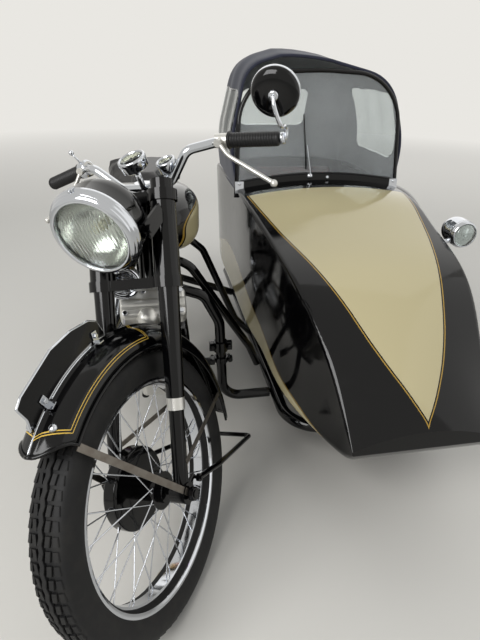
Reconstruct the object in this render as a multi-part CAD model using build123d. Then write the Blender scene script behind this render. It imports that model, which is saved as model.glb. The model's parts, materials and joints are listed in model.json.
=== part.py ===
from build123d import *
import json
import math
import os

# Sidecar motorcycle: a big sloper single on three wheels, with a hooded single-seat sidecar.
# Built in the machine's own frame: X = 0 is the motorcycle's middle plane and +X points to the
# sidecar, Y = 0 is the front axle with the steering straight and the front faces -Y, Z = 0 is
# the ground. At the end everything moves together so that the origin is the base's centre.

# Wheels, all three alike
tyre_radius = 325.0
tyre_half_width = 44.0
shoulder_radius = 313.0
shoulder_half = 31.0
sidewall_radius = 284.0
rim_flange_radius = 257.0
rim_seat_radius = 250.0
rim_well_radius = 236.0
rim_half_width = 36.0
rim_lip = 3.0
spoke_count = 40
spoke_radius = 1.6
spoke_sink = 3.0
spoke_cross_deg = 26.0
hub_barrel_radius = 27.0
hub_half_length = 52.0
hub_flange_radius = 42.0
hub_flange_thick = 5.0
drum_radius = 95.0
drum_width = 34.0
axle_radius = 8.5
axle_clearance = 0.05
wheel_base = 1400.0

# Steering head and fork
rake_deg = 27.0
rest_turn_deg = 32.8
steering_lock_deg = 38.0
fork_offset = 68.0
leg_spread = 87.0
front_axle_height = 321.3
shroud_radius = 25.0
shroud_end_radius = 20.5
slider_radius = 17.0
collar_radius = 20.0
collar_height = 27.0
collar_station = 200.0
leg_top_station = 690.0
lower_yoke_station = 468.0
upper_yoke_station = 655.0
yoke_thick = 24.0
yoke_boss_radius = 33.0
stem_radius = 15.0
head_tube_radius = 27.0
head_gap = 1.0
axle_lug_radius = 24.0
axle_lug_thick = 38.0

# Handlebar, controls, lamp and instruments, measured with the steering straight
bar_radius = 11.1
bar_points = ((0, 388, 908), (70, 390, 916), (128, 388, 976), (196, 441, 974), (322, 451, 953))
bar_bend_radii = (26.0, 26.0, 45.0)
grip_radius = 16.5
grip_length = 114.0
lamp_centre = (0, 128, 881)
lamp_dip_deg = 13.4
lens_radius = 80.0
lamp_rim_radius = 99.0
lamp_rim_depth = 24.0
lamp_shell_depth = 118.0
mirror_centre = (345, 413, 1047)
mirror_radius = 52.0
mirror_depth = 26.0

# Front mudguard and its number plate, drawn in the wheel's own plane
guard_radius = 380.0
guard_half_width = 54.0
guard_valance = 26.0
guard_crown_drop = 28.0
guard_wall = 2.0
guard_front_deg = 54.5
guard_rear_deg = -12.0
plate_thick = 5.0
plate_gap = 6.0
plate_outline_table = (
    # angle from the wheel's rear, radius: the blade's upper end, its crown, then its slanted tip
    (81.5, 0.0), (83.0, 30.0), (86.0, 41.0), (93.0, 49.0), (101.0, 54.0), (114.0, 54.0),
    (116.7, 50.0), (117.4, 21.0), (119.6, 0.0),
)
plate_clamp_degs = (86.0, 111.5)
plate_clamp_radius = 4.0
stay_reach = 330.0
stay_thick = 3.0
stay_gap = 1.6
front_stay_deg = 120.0
rear_stay_deg = 4.0

# Engine, gearbox and exhaust
crank_centre = (0, 612, 332)
cylinder_lean_deg = 40.0
crankcase_radius = 108.0
crankcase_half_width = 62.0
barrel_start = 110.0
barrel_length = 128.0
barrel_radius = 52.0
barrel_fin_radius = 72.0
head_length = 62.0
head_fin_radius = 78.0
fin_pitch = 13.0
fin_thick = 3.6
rocker_box_size = (176.0, 84.0, 66.0)
gearbox_centre = (0, 815, 335)
gearbox_radius = 72.0
gearbox_half_width = 46.0
chain_x = 49.5
chain_front_radius = 36.0
chain_rear_radius = 107.0
chaincase_thick = 46.0
chaincase_margin = 26.0
exhaust_radius = 22.0
silencer_radius = 42.0
silencer_length = 560.0
silencer_cone = 60.0
silencer_outlet_radius = 15.0
silencer_outlet_depth = 90.0
pipe_slip = 0.5
port_height = 32.5
port_wall = 5.0
inlet_radius = 26.0

# Tank, saddle, guards and small fittings
tank_half_width = 150.0
saddle_centre = (0, 984, 775)
rear_guard_radius = 364.0
rear_guard_half_width = 78.0
rear_guard_valance = 40.0
plate_hole_radius = 3.2
plate_hole_spacing = 110.0
plate_hole_z = 400.0
saddle_thick = 52.0
spring_x = 92.0
spring_radius = 24.0
spring_length = 130.0
frame_tube_radius = 15.0

# Sidecar
sidecar_centre_x = 666.0
sidecar_wheel_x = 1088.0
sidecar_wheel_y = 1250.0
sidecar_guard_radius = 372.0
sidecar_guard_half_width = 72.0
body_wall = 4.0
chassis_tube_radius = 19.0
chassis_height = 188.0
body_floor = 240.0
arm_radius = 16.0
screen_tube_radius = 8.0
screen_half = 327.0
screen_rail_thick = 14.0
screen_rake_deg = 8.0
screen_base_y = 1062.0
screen_base_z = 739.0
pane_thick = 4.0
hood_wall = 4.0
lid_gap = 3.0
boot_front = 1692.0
boot_rear = 1842.0
boot_half = 226.0
boot_corner = 30.0
hinge_half_x = 140.0
hinge_set_back = 9.0
hinge_lift = 9.0
hinge_pin_radius = 3.0
hinge_barrel_radius = 6.0
hinge_barrel_half = 9.0
hinge_ear_thick = 6.0
hinge_leaf_length = 34.0

shift_decimals = 1


def vec(point):
    return Vector(*point)


def rod(start, end, radius):
    """A round bar from one point to another."""
    a, b = vec(start), vec(end)
    plane = Plane(origin=a, z_dir=b - a)
    return plane * Cylinder(radius, (b - a).length, align=(Align.CENTER, Align.CENTER, Align.MIN))


def taper(start, end, radius_a, radius_b):
    """A round bar whose radius changes along its length."""
    a, b = vec(start), vec(end)
    plane = Plane(origin=a, z_dir=b - a)
    return plane * Cone(radius_a, radius_b, (b - a).length, align=(Align.CENTER, Align.CENTER, Align.MIN))


def bent_tube(points, radii, radius):
    """A round tube along straight runs joined by tangent arcs."""
    path = FilletPolyline(*[tuple(p) for p in points], radius=list(radii))
    start = Plane(origin=path @ 0, z_dir=path % 0)
    return sweep(start * Circle(radius), path=path)


def ring(profile, sweep_deg=360.0):
    """Turn a closed outline of (along, radius) points about the X axis."""
    plane = Plane(origin=(0, 0, 0), x_dir=(1, 0, 0), z_dir=(0, -1, 0))
    return revolve(plane * make_face(profile), axis=Axis.X, revolution_arc=sweep_deg)


def outline(points):
    return Polyline(*points, close=True)


def fused(shapes):
    return shapes[0].fuse(*shapes[1:])


def mirrored(shape):
    return mirror(shape, about=Plane.YZ)


def rounded_box(width, depth, height, radius):
    block = Box(width, depth, height)
    return fillet(block.edges(), radius)


# Steering frame: the axis runs up and back through the head, the fork legs lie ahead of it

rake = math.radians(rake_deg)
steer_direction = Vector(0, math.sin(rake), math.cos(rake))
steer_behind = Vector(0, math.cos(rake), -math.sin(rake))
front_axle = Vector(0, 0, front_axle_height)
steer_base = front_axle + steer_behind * fork_offset
steer_axis = Axis((steer_base.X, steer_base.Y, steer_base.Z),
                  (steer_direction.X, steer_direction.Y, steer_direction.Z))


def turned(shape):
    """Turn a steering piece from straight ahead to its parked angle."""
    return shape.rotate(steer_axis, -rest_turn_deg)


def leg_point(side, station, behind=0.0):
    point = front_axle + steer_direction * station + steer_behind * behind
    return (side * leg_spread, point.Y, point.Z)


def stem_point(station):
    point = steer_base + steer_direction * station
    return (0.0, point.Y, point.Z)


# Wheels

def tyre():
    bead = rim_half_width - rim_lip
    path = [
        Line((-bead, rim_seat_radius), (bead, rim_seat_radius)),
        Line((bead, rim_seat_radius), (bead, rim_flange_radius)),
        ThreePointArc((bead, rim_flange_radius), (tyre_half_width, sidewall_radius),
                      (shoulder_half, shoulder_radius)),
        ThreePointArc((shoulder_half, shoulder_radius), (0, tyre_radius),
                      (-shoulder_half, shoulder_radius)),
        ThreePointArc((-shoulder_half, shoulder_radius), (-tyre_half_width, sidewall_radius),
                      (-bead, rim_flange_radius)),
        Line((-bead, rim_flange_radius), (-bead, rim_seat_radius)),
    ]
    return ring(path)


def rim(drum_side):
    edge = rim_half_width
    bead = edge - rim_lip
    shelf = rim_seat_radius - 5
    well = 16
    profile = outline([
        (-edge, rim_flange_radius), (-bead, rim_flange_radius), (-bead, rim_seat_radius),
        (bead, rim_seat_radius), (bead, rim_flange_radius), (edge, rim_flange_radius),
        (edge, rim_seat_radius), (bead, shelf), (well, shelf), (well - 4, rim_well_radius),
        (4 - well, rim_well_radius), (-well, shelf), (-bead, shelf), (-edge, rim_seat_radius),
    ])
    shapes = [ring(profile)]
    for number in range(spoke_count):
        at_rim = math.radians(360.0 * number / spoke_count)
        side = 1 if number % 2 == 0 else -1
        cross = math.radians(spoke_cross_deg) * (1 if number % 4 < 2 else -1)
        on_drum = side == drum_side
        flange = drum_radius - 4 if on_drum else hub_flange_radius - 6
        lateral = side * (hub_half_length - 14)
        turn = cross * (0.45 if on_drum else 1.6)
        start = (lateral, flange * math.cos(at_rim + turn), flange * math.sin(at_rim + turn))
        reach = rim_well_radius + spoke_sink
        end = (side * 6, reach * math.cos(at_rim), reach * math.sin(at_rim))
        shapes.append(rod(start, end, spoke_radius))
    return fused(shapes)


def hub(drum_side):
    barrel = Rot(0, 90, 0) * Cylinder(hub_barrel_radius, 2 * hub_half_length)
    flange_x = hub_half_length - 14
    small = Rot(0, 90, 0) * Cylinder(hub_flange_radius, hub_flange_thick)
    small = Pos(-drum_side * flange_x, 0, 0) * small
    drum = Pos(drum_side * flange_x, 0, 0) * Rot(0, 90, 0) * Cylinder(drum_radius, drum_width)
    drum = fillet(drum.edges().filter_by(GeomType.CIRCLE), 6)
    bore = Rot(0, 90, 0) * Cylinder(axle_radius + axle_clearance, 4 * hub_half_length)
    return barrel + small + drum - bore


front_centre = (0, 0, front_axle_height)
rear_centre = (0, wheel_base, tyre_radius)
sidecar_wheel_centre = (sidecar_wheel_x, sidecar_wheel_y, tyre_radius)

nodes = {}


def keep(name, shape):
    nodes[name] = shape


right_drum_wheel = (tyre(), rim(-1), hub(-1))
left_drum_wheel = (right_drum_wheel[0], mirrored(right_drum_wheel[1]), mirrored(right_drum_wheel[2]))

sprocket = rod((chain_x + 2, 0, 0), (chain_x + 7, 0, 0), chain_rear_radius - 6.3)
sprocket = sprocket - rod((0, 0, 0), (chain_x + 20, 0, 0), hub_barrel_radius - 2)
left_drum_wheel = (left_drum_wheel[0], left_drum_wheel[1], left_drum_wheel[2] + sprocket)
for name, centre, wheel in (("front", front_centre, right_drum_wheel),
                            ("rear", rear_centre, left_drum_wheel),
                            ("sidecar", sidecar_wheel_centre, right_drum_wheel)):
    for piece_name, piece in zip(("tyre", "rim", "hub"), wheel):
        placed = Pos(*centre) * piece
        keep(name + "_" + piece_name, turned(placed) if name == "front" else placed)


# Front fork, yokes and steering stem

def fork_leg(side):
    collar_low = collar_station - collar_height / 2
    collar_high = collar_station + collar_height / 2
    shroud = taper(leg_point(side, collar_high), leg_point(side, leg_top_station - 120),
                   shroud_end_radius, shroud_radius)
    top = rod(leg_point(side, leg_top_station - 120), leg_point(side, leg_top_station), shroud_radius)
    slider = rod(leg_point(side, 12), leg_point(side, collar_low), slider_radius)
    lug = rod((side * (leg_spread - axle_lug_thick / 2), 0, front_axle_height),
              (side * (leg_spread + axle_lug_thick / 2), 0, front_axle_height), axle_lug_radius)
    return shroud + top, slider + lug


def collar(side):
    half = collar_height / 2
    return rod(leg_point(side, collar_station - half), leg_point(side, collar_station + half), collar_radius)


def yoke(station):
    """A yoke plate with two leg bosses, square to the steering axis."""
    plane = Plane(origin=stem_point(station), x_dir=(1, 0, 0), z_dir=steer_direction)
    half = yoke_thick / 2
    leg_y = -fork_offset
    shape = plane * (extrude(make_face(outline([
        (-leg_spread, leg_y - 14), (leg_spread, leg_y - 14), (leg_spread, leg_y + 18),
        (34, 30), (-34, 30), (-leg_spread, leg_y + 18)])), amount=half, both=True))
    for side in (-1, 1):
        boss = plane * Pos(side * leg_spread, leg_y, 0) * Cylinder(yoke_boss_radius, yoke_thick)
        shape = shape + boss
    stem_boss = plane * Cylinder(head_tube_radius + 6, yoke_thick)
    return shape + stem_boss


yokes = fused([yoke(lower_yoke_station), yoke(upper_yoke_station),
               rod(stem_point(lower_yoke_station), stem_point(upper_yoke_station), stem_radius),
               rod(stem_point(upper_yoke_station), stem_point(upper_yoke_station + 34), 18)])
for side in (-1, 1):
    ear = taper(leg_point(side, lower_yoke_station), leg_point(side, upper_yoke_station), 30, 28)
    yokes = yokes + ear
leg_hole = fused([rod(leg_point(side, 0), leg_point(side, leg_top_station + 60), shroud_radius)
                  for side in (-1, 1)])
shrouds_and_sliders = [fork_leg(side) for side in (-1, 1)]
keep("fork_shrouds", turned(Compound([pair[0] for pair in shrouds_and_sliders])))
keep("fork_collars", turned(Compound([collar(side) for side in (-1, 1)])))

# Front axle with its nuts, and the still plate that closes the brake drum

axle_half = leg_spread + axle_lug_thick / 2 + 18
axle_nuts = [Pos(side * (axle_half - 8), 0, front_axle_height) * Rot(0, 90, 0)
             * extrude(RegularPolygon(15, 6), amount=6, both=True) for side in (-1, 1)]
front_axle_rod = rod((-axle_half, 0, front_axle_height), (axle_half, 0, front_axle_height), axle_radius)


# Mudguards: a thin valanced section turned about the wheel's axis

def mudguard(radius, half_width, valance, crown_drop, wall, rear_deg, front_deg):
    edge = radius - crown_drop
    low = edge - valance
    shoulder = half_width - 3
    path = [
        Line((half_width, low), (shoulder, edge)),
        ThreePointArc((shoulder, edge), (0, radius), (-shoulder, edge)),
        Line((-shoulder, edge), (-half_width, low)),
        Line((-half_width, low), (wall - half_width, low)),
        Line((wall - half_width, low), (wall - shoulder, edge)),
        ThreePointArc((wall - shoulder, edge), (0, radius - wall), (shoulder - wall, edge)),
        Line((shoulder - wall, edge), (half_width - wall, low)),
        Line((half_width - wall, low), (half_width, low)),
    ]
    span = 180.0 - front_deg - rear_deg
    return Rot(rear_deg - 90.0, 0, 0) * ring(path, span)


def flat_bar(start, end, width, thick):
    """A flat strip between two points with its broad side facing X."""
    a, b = vec(start), vec(end)
    along = (b - a).normalized()
    plane = Plane(origin=(a + b) * 0.5, x_dir=along, z_dir=Vector(1, 0, 0) - along * along.X)
    return plane * Box((b - a).length, width, thick)


guard_centre = (0, 0, front_axle_height)
front_guard = Pos(*guard_centre) * mudguard(guard_radius, guard_half_width, guard_valance,
                                            guard_crown_drop, guard_wall, guard_rear_deg, guard_front_deg)
keep("front_mudguard", turned(front_guard))


def guard_point(lateral, radius, angle_deg):
    angle = math.radians(angle_deg)
    return (lateral, guard_centre[1] + radius * math.cos(angle), guard_centre[2] + radius * math.sin(angle))


stay_outside = leg_spread + axle_lug_thick / 2 + stay_gap
stay_table = (
    # angle on the guard, strip width, foot
    (front_stay_deg, 15.0, (stay_outside, 0, front_axle_height)),
    (rear_stay_deg, 12.0, (leg_spread + slider_radius + stay_gap, 32, 384)),
)
stays = []
for side in (-1, 1):
    for angle, width, foot in stay_table:
        top = guard_point(side * guard_half_width, stay_reach, angle)
        stays.append(flat_bar(top, (side * foot[0], foot[1], foot[2]), width, stay_thick))

plate_inner = guard_radius + plate_gap
plate_side = Plane.YZ.offset(-plate_thick / 2)
plate_corners = [guard_point(0, plate_inner + rise, angle)[1:] for angle, rise in plate_outline_table]
plate_foot = guard_point(0, plate_inner, 0.5 * (plate_outline_table[0][0] + plate_outline_table[-1][0]))[1:]
plate_outline = [Line(a, b) for a, b in zip(plate_corners, plate_corners[1:])]
plate_outline.append(ThreePointArc(plate_corners[-1], plate_foot, plate_corners[0]))
number_plate = extrude(plate_side * make_face(plate_outline), amount=plate_thick)
for angle in plate_clamp_degs:
    foot = rod(guard_point(0, guard_radius - 1, angle), guard_point(0, plate_inner + 8, angle),
               plate_clamp_radius)
    number_plate = number_plate + foot
keep("front_number_plate", turned(number_plate - front_guard))

# Handlebar with grips, levers, mirror and instruments

half_bar = bent_tube(bar_points, bar_bend_radii, bar_radius)
handlebar = fused([half_bar, mirrored(half_bar)])
yokes = yokes - leg_hole - handlebar
keep("handlebar", turned(handlebar))
grip_end = vec(bar_points[-1])
grip_along = (grip_end - vec(bar_points[-2])).normalized()
grip_start = grip_end - grip_along * grip_length
grips = []
for side in (-1, 1):
    outer = rod((grip_start.X, grip_start.Y, grip_start.Z), tuple(grip_end + grip_along * 4), grip_radius)
    inner = rod(tuple(grip_start - grip_along * 2), tuple(grip_end), bar_radius)
    grip = outer - inner - half_bar
    grips.append(grip if side == 1 else mirrored(grip))
keep("hand_grips", turned(Compound(grips)))

perch = grip_start - grip_along * 16
lever_points = (tuple(perch + Vector(0, -22, 0)), (215, 405, 945), (318, 372, 876))
levers = []
for side in (-1, 1):
    block = rod(tuple(perch - grip_along * 14), tuple(perch + grip_along * 14), bar_radius + 5)
    block = block + rod(tuple(perch), tuple(perch + Vector(0, -30, 0)), 9)
    block = block - rod(tuple(perch - grip_along * 20), tuple(perch + grip_along * 20), bar_radius)
    lever = bent_tube(lever_points, (60,), 5)
    lever = lever + Pos(*lever_points[-1]) * Sphere(8)
    pair = block + lever - half_bar
    levers.append(pair if side == 1 else mirrored(pair))
keep("control_levers", turned(Compound(levers)))

lamp_tilt = math.radians(lamp_dip_deg)
lamp_forward = Vector(0, -math.cos(lamp_tilt), -math.sin(lamp_tilt))
lamp_plane = Plane(origin=vec(lamp_centre) - lamp_forward * lamp_rim_depth, x_dir=(1, 0, 0),
                   z_dir=lamp_forward)


def spun(profile, plane):
    """Turn a closed outline of (radius, along) points about the plane's own normal."""
    return plane * revolve(Plane.XZ * make_face(profile), axis=Axis.Z)


shell_radius = lamp_rim_radius - 8
lamp_shell = spun([
    Line((0, 0), (shell_radius, 0)),
    Line((shell_radius, 0), (shell_radius, -40)),
    ThreePointArc((shell_radius, -40), (66, -90), (8, 8 - lamp_shell_depth)),
    Line((8, 8 - lamp_shell_depth), (0, 8 - lamp_shell_depth)),
    Line((0, 8 - lamp_shell_depth), (0, 0)),
], lamp_plane)
keep("headlamp_shell", turned(lamp_shell))
for side in (-1, 1):
    bracket_x = side * (shell_radius + 8)
    bracket = flat_bar((bracket_x, 256, 884), (bracket_x, 180, 866), 36, 6)
    bolt = rod((side * (shell_radius - 6), 188, 868), (side * (shell_radius + 16), 188, 868), 9)
    yokes = yokes + (bracket + bolt - lamp_shell - leg_hole)
keep("fork_yokes", turned(yokes))
keep("headlamp_rim", turned(spun(outline([
    (lens_radius, 1), (lamp_rim_radius - 6, 1), (lamp_rim_radius, 5), (lamp_rim_radius - 3, 13),
    (lens_radius + 4, lamp_rim_depth), (lens_radius, lamp_rim_depth),
]), lamp_plane)))
keep("headlamp_lens", turned(spun([
    Line((0, 1), (lens_radius, 1)),
    Line((lens_radius, 1), (lens_radius, 12)),
    ThreePointArc((lens_radius, 12), (45, 20), (6, lamp_rim_depth)),
    Line((6, lamp_rim_depth), (0, lamp_rim_depth)),
    Line((0, lamp_rim_depth), (0, 1)),
], lamp_plane)))

dials = []
for centre, radius in (((-2, 366, 975), 34), ((62, 402, 950), 24)):
    dials.append(Pos(*centre) * Rot(18, 0, 0) * Cylinder(radius, 30))
    dials.append(rod((centre[0] * 0.6, centre[1] + 10, 905), (centre[0], centre[1], centre[2] - 10), 7))
keep("instruments", turned(fused(dials) - handlebar - yokes))

mirror_tilt = Plane(origin=mirror_centre, x_dir=(1, 0, 0), z_dir=(0, 0.97, 0.24))
mirror_head = mirror_tilt * Cylinder(mirror_radius, mirror_depth)
mirror_head = fillet(mirror_head.edges().filter_by(GeomType.CIRCLE), 8)
bar_end = grip_end + grip_along * 4
mirror_arm = bent_tube((tuple(bar_end), tuple(bar_end + Vector(14, 0, 0)),
                        tuple(vec(mirror_centre) + Vector(7, 6, -mirror_radius))), (8,), 5)
keep("mirror", turned(mirror_arm + mirror_head - grips[1]))

# Front stand: a loop hung from the fork ends, lying back under the wheel's rear

stand_pivot = (0, 46, 322)
stand_foot = (0, 385, 142)
stand_arm_x = leg_spread + axle_lug_thick / 2 + 5
stand_half = 80.0
stand_tube = 6.5
stand_loop = bent_tube((
    (-stand_arm_x, stand_pivot[1], stand_pivot[2]), (-stand_arm_x, 140, 272),
    (-stand_half, stand_foot[1], stand_foot[2]), (stand_half, stand_foot[1], stand_foot[2]),
    (stand_arm_x, 140, 272), (stand_arm_x, stand_pivot[1], stand_pivot[2])), (30, 18, 18, 30), stand_tube)
pivot_bore = rod((-200, stand_pivot[1], stand_pivot[2]), (200, stand_pivot[1], stand_pivot[2]), 4.05)
eyes = [rod((side * (stand_arm_x - 4), stand_pivot[1], stand_pivot[2]),
            (side * (stand_arm_x + 4), stand_pivot[1], stand_pivot[2]), 9) for side in (-1, 1)]
keep("front_stand", turned(fused([stand_loop] + eyes) - pivot_bore))
stand_mounts = []
for side in (-1, 1):
    stand_mounts.append(rod((side * (stand_arm_x - 15), stand_pivot[1], stand_pivot[2]),
                            (side * (stand_arm_x + 8), stand_pivot[1], stand_pivot[2]), 4))
    stand_mounts.append(rod((side * (leg_spread + 6), 4, front_axle_height),
                            (side * (leg_spread + 6), stand_pivot[1] + 6, stand_pivot[2]), 6))
sliders = fused([pair[1] for pair in shrouds_and_sliders] + [front_axle_rod] + axle_nuts + stand_mounts)
keep("fork_sliders", turned(sliders))
keep("front_stays", turned(Compound([stay - sliders - front_guard for stay in stays])))


# Frame: a brazed tube frame in which the sloping engine takes the front tube's place

lean = math.radians(cylinder_lean_deg)
cylinder_up = Vector(0, -math.sin(lean), math.cos(lean))
cylinder_front = Vector(0, -math.cos(lean), -math.sin(lean))
crank = vec(crank_centre)


def engine_point(along, forward=0.0, lateral=0.0):
    point = crank + cylinder_up * along + cylinder_front * forward
    return (lateral, point.Y, point.Z)


head_low_station = lower_yoke_station + yoke_thick / 2 + head_gap
head_high_station = upper_yoke_station - yoke_thick / 2 - head_gap
seat_lug = (0, 905, 748)
seat_post_foot = (0, 925, 212)
rail_x = 45.0
rail_z = 205.0
rail_radius = 12.0
stay_x = 104.0
stay_radius = 9.5
head_join = stem_point(0.5 * (head_low_station + head_high_station) + 30)
rear_axle_half = stay_x + 26
frame_shapes = [
    rod((-rear_axle_half, wheel_base, tyre_radius), (rear_axle_half, wheel_base, tyre_radius), axle_radius),
    rod(stem_point(head_low_station), stem_point(head_high_station), head_tube_radius),
    rod(head_join, seat_lug, frame_tube_radius + 2),
    rod(seat_lug, seat_post_foot, frame_tube_radius),
    rod((0, seat_lug[1], seat_lug[2] - 24), (0, seat_lug[1], seat_lug[2] + 20), 24),
    rod((-rail_x - 14, seat_post_foot[1], rail_z), (rail_x + 14, seat_post_foot[1], rail_z), 17),
]
for side in (-1, 1):
    frame_shapes += [
        rod((side * rail_x, seat_post_foot[1], rail_z), (side * rail_x, 520, rail_z), rail_radius),
        bent_tube(((side * rail_x, seat_post_foot[1], rail_z), (side * stay_x, 1130, 250),
                   (side * stay_x, wheel_base, tyre_radius)), (80,), stay_radius + 2),
        bent_tube(((side * 20, seat_lug[1], seat_lug[2] - 30), (side * stay_x, 1050, 606),
                   (side * stay_x, wheel_base, tyre_radius)), (60,), stay_radius),
        rod((side * (stay_x - 6), wheel_base, tyre_radius),
            (side * (stay_x + 6), wheel_base, tyre_radius), 24),
        Pos(side * (stay_x + 16), wheel_base, tyre_radius) * Rot(0, 90, 0)
        * extrude(RegularPolygon(16, 6), amount=6, both=True),
    ]
    lug_y, lug_low = 516, 584
    frame_shapes.append(Pos(side * 36, lug_y, 0.5 * (lug_low + 815)) * Box(8, 36, 815 - lug_low))
frame_shapes.append(Pos(0, 516, 800) * Box(80, 36, 34))
frame_bore = rod(stem_point(head_low_station - 20), stem_point(head_high_station + 20), stem_radius + 0.05)
frame = fused(frame_shapes) - frame_bore

# Engine: crankcase, sloping finned barrel and head, and the polished rocker box

case = Rot(0, 90, 0) * Cylinder(crankcase_radius, 2 * crankcase_half_width)
case = fillet(case.edges().filter_by(GeomType.CIRCLE), 14)
case = Pos(*crank_centre) * case
cylinder_plane = Plane(origin=crank, x_dir=(1, 0, 0), z_dir=cylinder_up)
mouth = cylinder_plane * Pos(0, 0, barrel_start / 2) * Box(116, 116, barrel_start)
sump = Pos(0, crank.Y - 78, crank.Z - 66) * rounded_box(108, 110, 84, 16)
mag_platform = Pos(0, crank.Y + 112, crank.Z + 52) * rounded_box(90, 96, 70, 8)
case = case + mouth + sump + mag_platform
for foot_y in (-42, 38):
    case = case + Pos(0, crank.Y + foot_y, rail_z + 20) * Box(2 * rail_x + 22, 34, 36)
case = case - frame


def finned(length, core, fin, first):
    """A round casting with cooling fins, standing on the plane z = 0."""
    count = int(length // fin_pitch)
    shapes = [Cylinder(core, length, align=(Align.CENTER, Align.CENTER, Align.MIN))]
    for number in range(count):
        disc = Cylinder(fin, fin_thick, align=(Align.CENTER, Align.CENTER, Align.MIN))
        shapes.append(Pos(0, 0, first + number * fin_pitch) * disc)
    return fused(shapes)


barrel_plane = Plane(origin=crank + cylinder_up * barrel_start, x_dir=(1, 0, 0), z_dir=cylinder_up)
head_plane = Plane(origin=crank + cylinder_up * (barrel_start + barrel_length), x_dir=(1, 0, 0),
                   z_dir=cylinder_up)
rocker_along = barrel_start + barrel_length + head_length
keep("crankcase", case)
keep("cylinder_barrel", barrel_plane * finned(barrel_length, barrel_radius, barrel_fin_radius, 6))
head = head_plane * finned(head_length, 60, head_fin_radius, 5)
rocker_plane = Plane(origin=crank + cylinder_up * (rocker_along + rocker_box_size[2] / 2),
                     x_dir=(1, 0, 0), z_dir=cylinder_up)
rocker_box = rocker_plane * rounded_box(*rocker_box_size, 14)
keep("rocker_box", rocker_box)

silencer_start = (-166, 900, 246)


def silencer_at(y):
    return (silencer_start[0], y, silencer_start[2])


silencer_end = silencer_at(silencer_start[1] + silencer_length)
port_along = barrel_start + barrel_length + port_height
exhaust_port = engine_point(port_along, 6, -30)
exhaust_throat = engine_point(port_along, 30, -56)
exhaust_mouth = engine_point(port_along, 58, -86)
exhaust_past = engine_point(port_along, 64, -92.5)
inlet_port = engine_point(port_along)
inlet_mouth = engine_point(port_along, -96)
head = head + rod(exhaust_port, exhaust_mouth, exhaust_radius + port_wall)
head = head + rod(inlet_port, inlet_mouth, inlet_radius)
keep("cylinder_head", head - rod(exhaust_throat, exhaust_past, exhaust_radius))

exhaust_points = (engine_point(port_along, 45, -72), engine_point(port_along, 79, -109),
                  (-124, 404, 300), (-128, 500, 242), (-128, 700, 242), (-166, 820, 246),
                  silencer_start)
exhaust = bent_tube(exhaust_points, (34, 60, 90, 120, 120), exhaust_radius - pipe_slip)
silencer_shoulders = (silencer_start[1] + silencer_cone, silencer_end[1] - silencer_cone)
silencer = taper(silencer_start, silencer_at(silencer_shoulders[0]), exhaust_radius, silencer_radius)
silencer = silencer + rod(silencer_at(silencer_shoulders[0]), silencer_at(silencer_shoulders[1]),
                          silencer_radius)
silencer = silencer + taper(silencer_at(silencer_shoulders[1]), silencer_end, silencer_radius,
                            silencer_outlet_radius + 5)
silencer = silencer - rod(silencer_at(silencer_end[1] - silencer_outlet_depth),
                          silencer_at(silencer_end[1] + 5), silencer_outlet_radius)
keep("exhaust", exhaust + silencer)


def oval_cover(circles, x_near, x_far, soften):
    """A cover whose outline wraps two circles of (y, z, radius), between two X planes."""
    sketch = make_hull([edge for y, z, radius in circles
                        for edge in (Pos(y, z) * Circle(radius)).edges()])
    low, high = min(x_near, x_far), max(x_near, x_far)
    cover = extrude(Plane.YZ.offset(low) * sketch, amount=high - low)
    outer_x = x_far
    rim_edges = [edge for edge in cover.edges()
                 if abs(edge.center().X - outer_x) < 0.5]
    return fillet(rim_edges, soften)


keep("timing_cover", oval_cover(((crank.Y + 6, crank.Z + 6, 66), (crank.Y + 118, crank.Z + 118, 46)),
                                -crankcase_half_width, -crankcase_half_width - 36, 12))
keep("primary_chaincase", oval_cover(((crank.Y, crank.Z, 74), (gearbox_centre[1], gearbox_centre[2], 92)),
                                     crankcase_half_width, crankcase_half_width + chaincase_thick, 14))
gearbox = Pos(*gearbox_centre) * rounded_box(2 * gearbox_half_width, 2 * gearbox_radius - 14, 158, 22)
gearbox = gearbox - rod((0, seat_post_foot[1], 150), (0, seat_post_foot[1], 500), frame_tube_radius + 1)
gearbox = gearbox + Pos(0, gearbox_centre[1] - 12, rail_z + 28) * Box(2 * rail_x + 16, 60, 52) - frame
gearbox = gearbox + rod((gearbox_half_width - 4, gearbox_centre[1], gearbox_centre[2]),
                        (chain_x + 9, gearbox_centre[1], gearbox_centre[2]), chain_front_radius - 6.3)
keep("gearbox", gearbox - case)

magdyno_centre = (0, crank.Y + 128, crank.Z + 128)
magdyno = rod((-62, magdyno_centre[1], magdyno_centre[2]), (58, magdyno_centre[1], magdyno_centre[2]), 36)
magdyno = magdyno + rod((-62, magdyno_centre[1] + 4, magdyno_centre[2] + 52),
                        (48, magdyno_centre[1] + 4, magdyno_centre[2] + 52), 25)
keep("magdyno", magdyno - case)
carburettor = rod(inlet_mouth, engine_point(port_along, -150), 27)
carburettor = carburettor + rod(engine_point(240, -132), engine_point(318, -132), 19)
keep("carburettor", carburettor)

# Fuel tank and its cap

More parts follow.
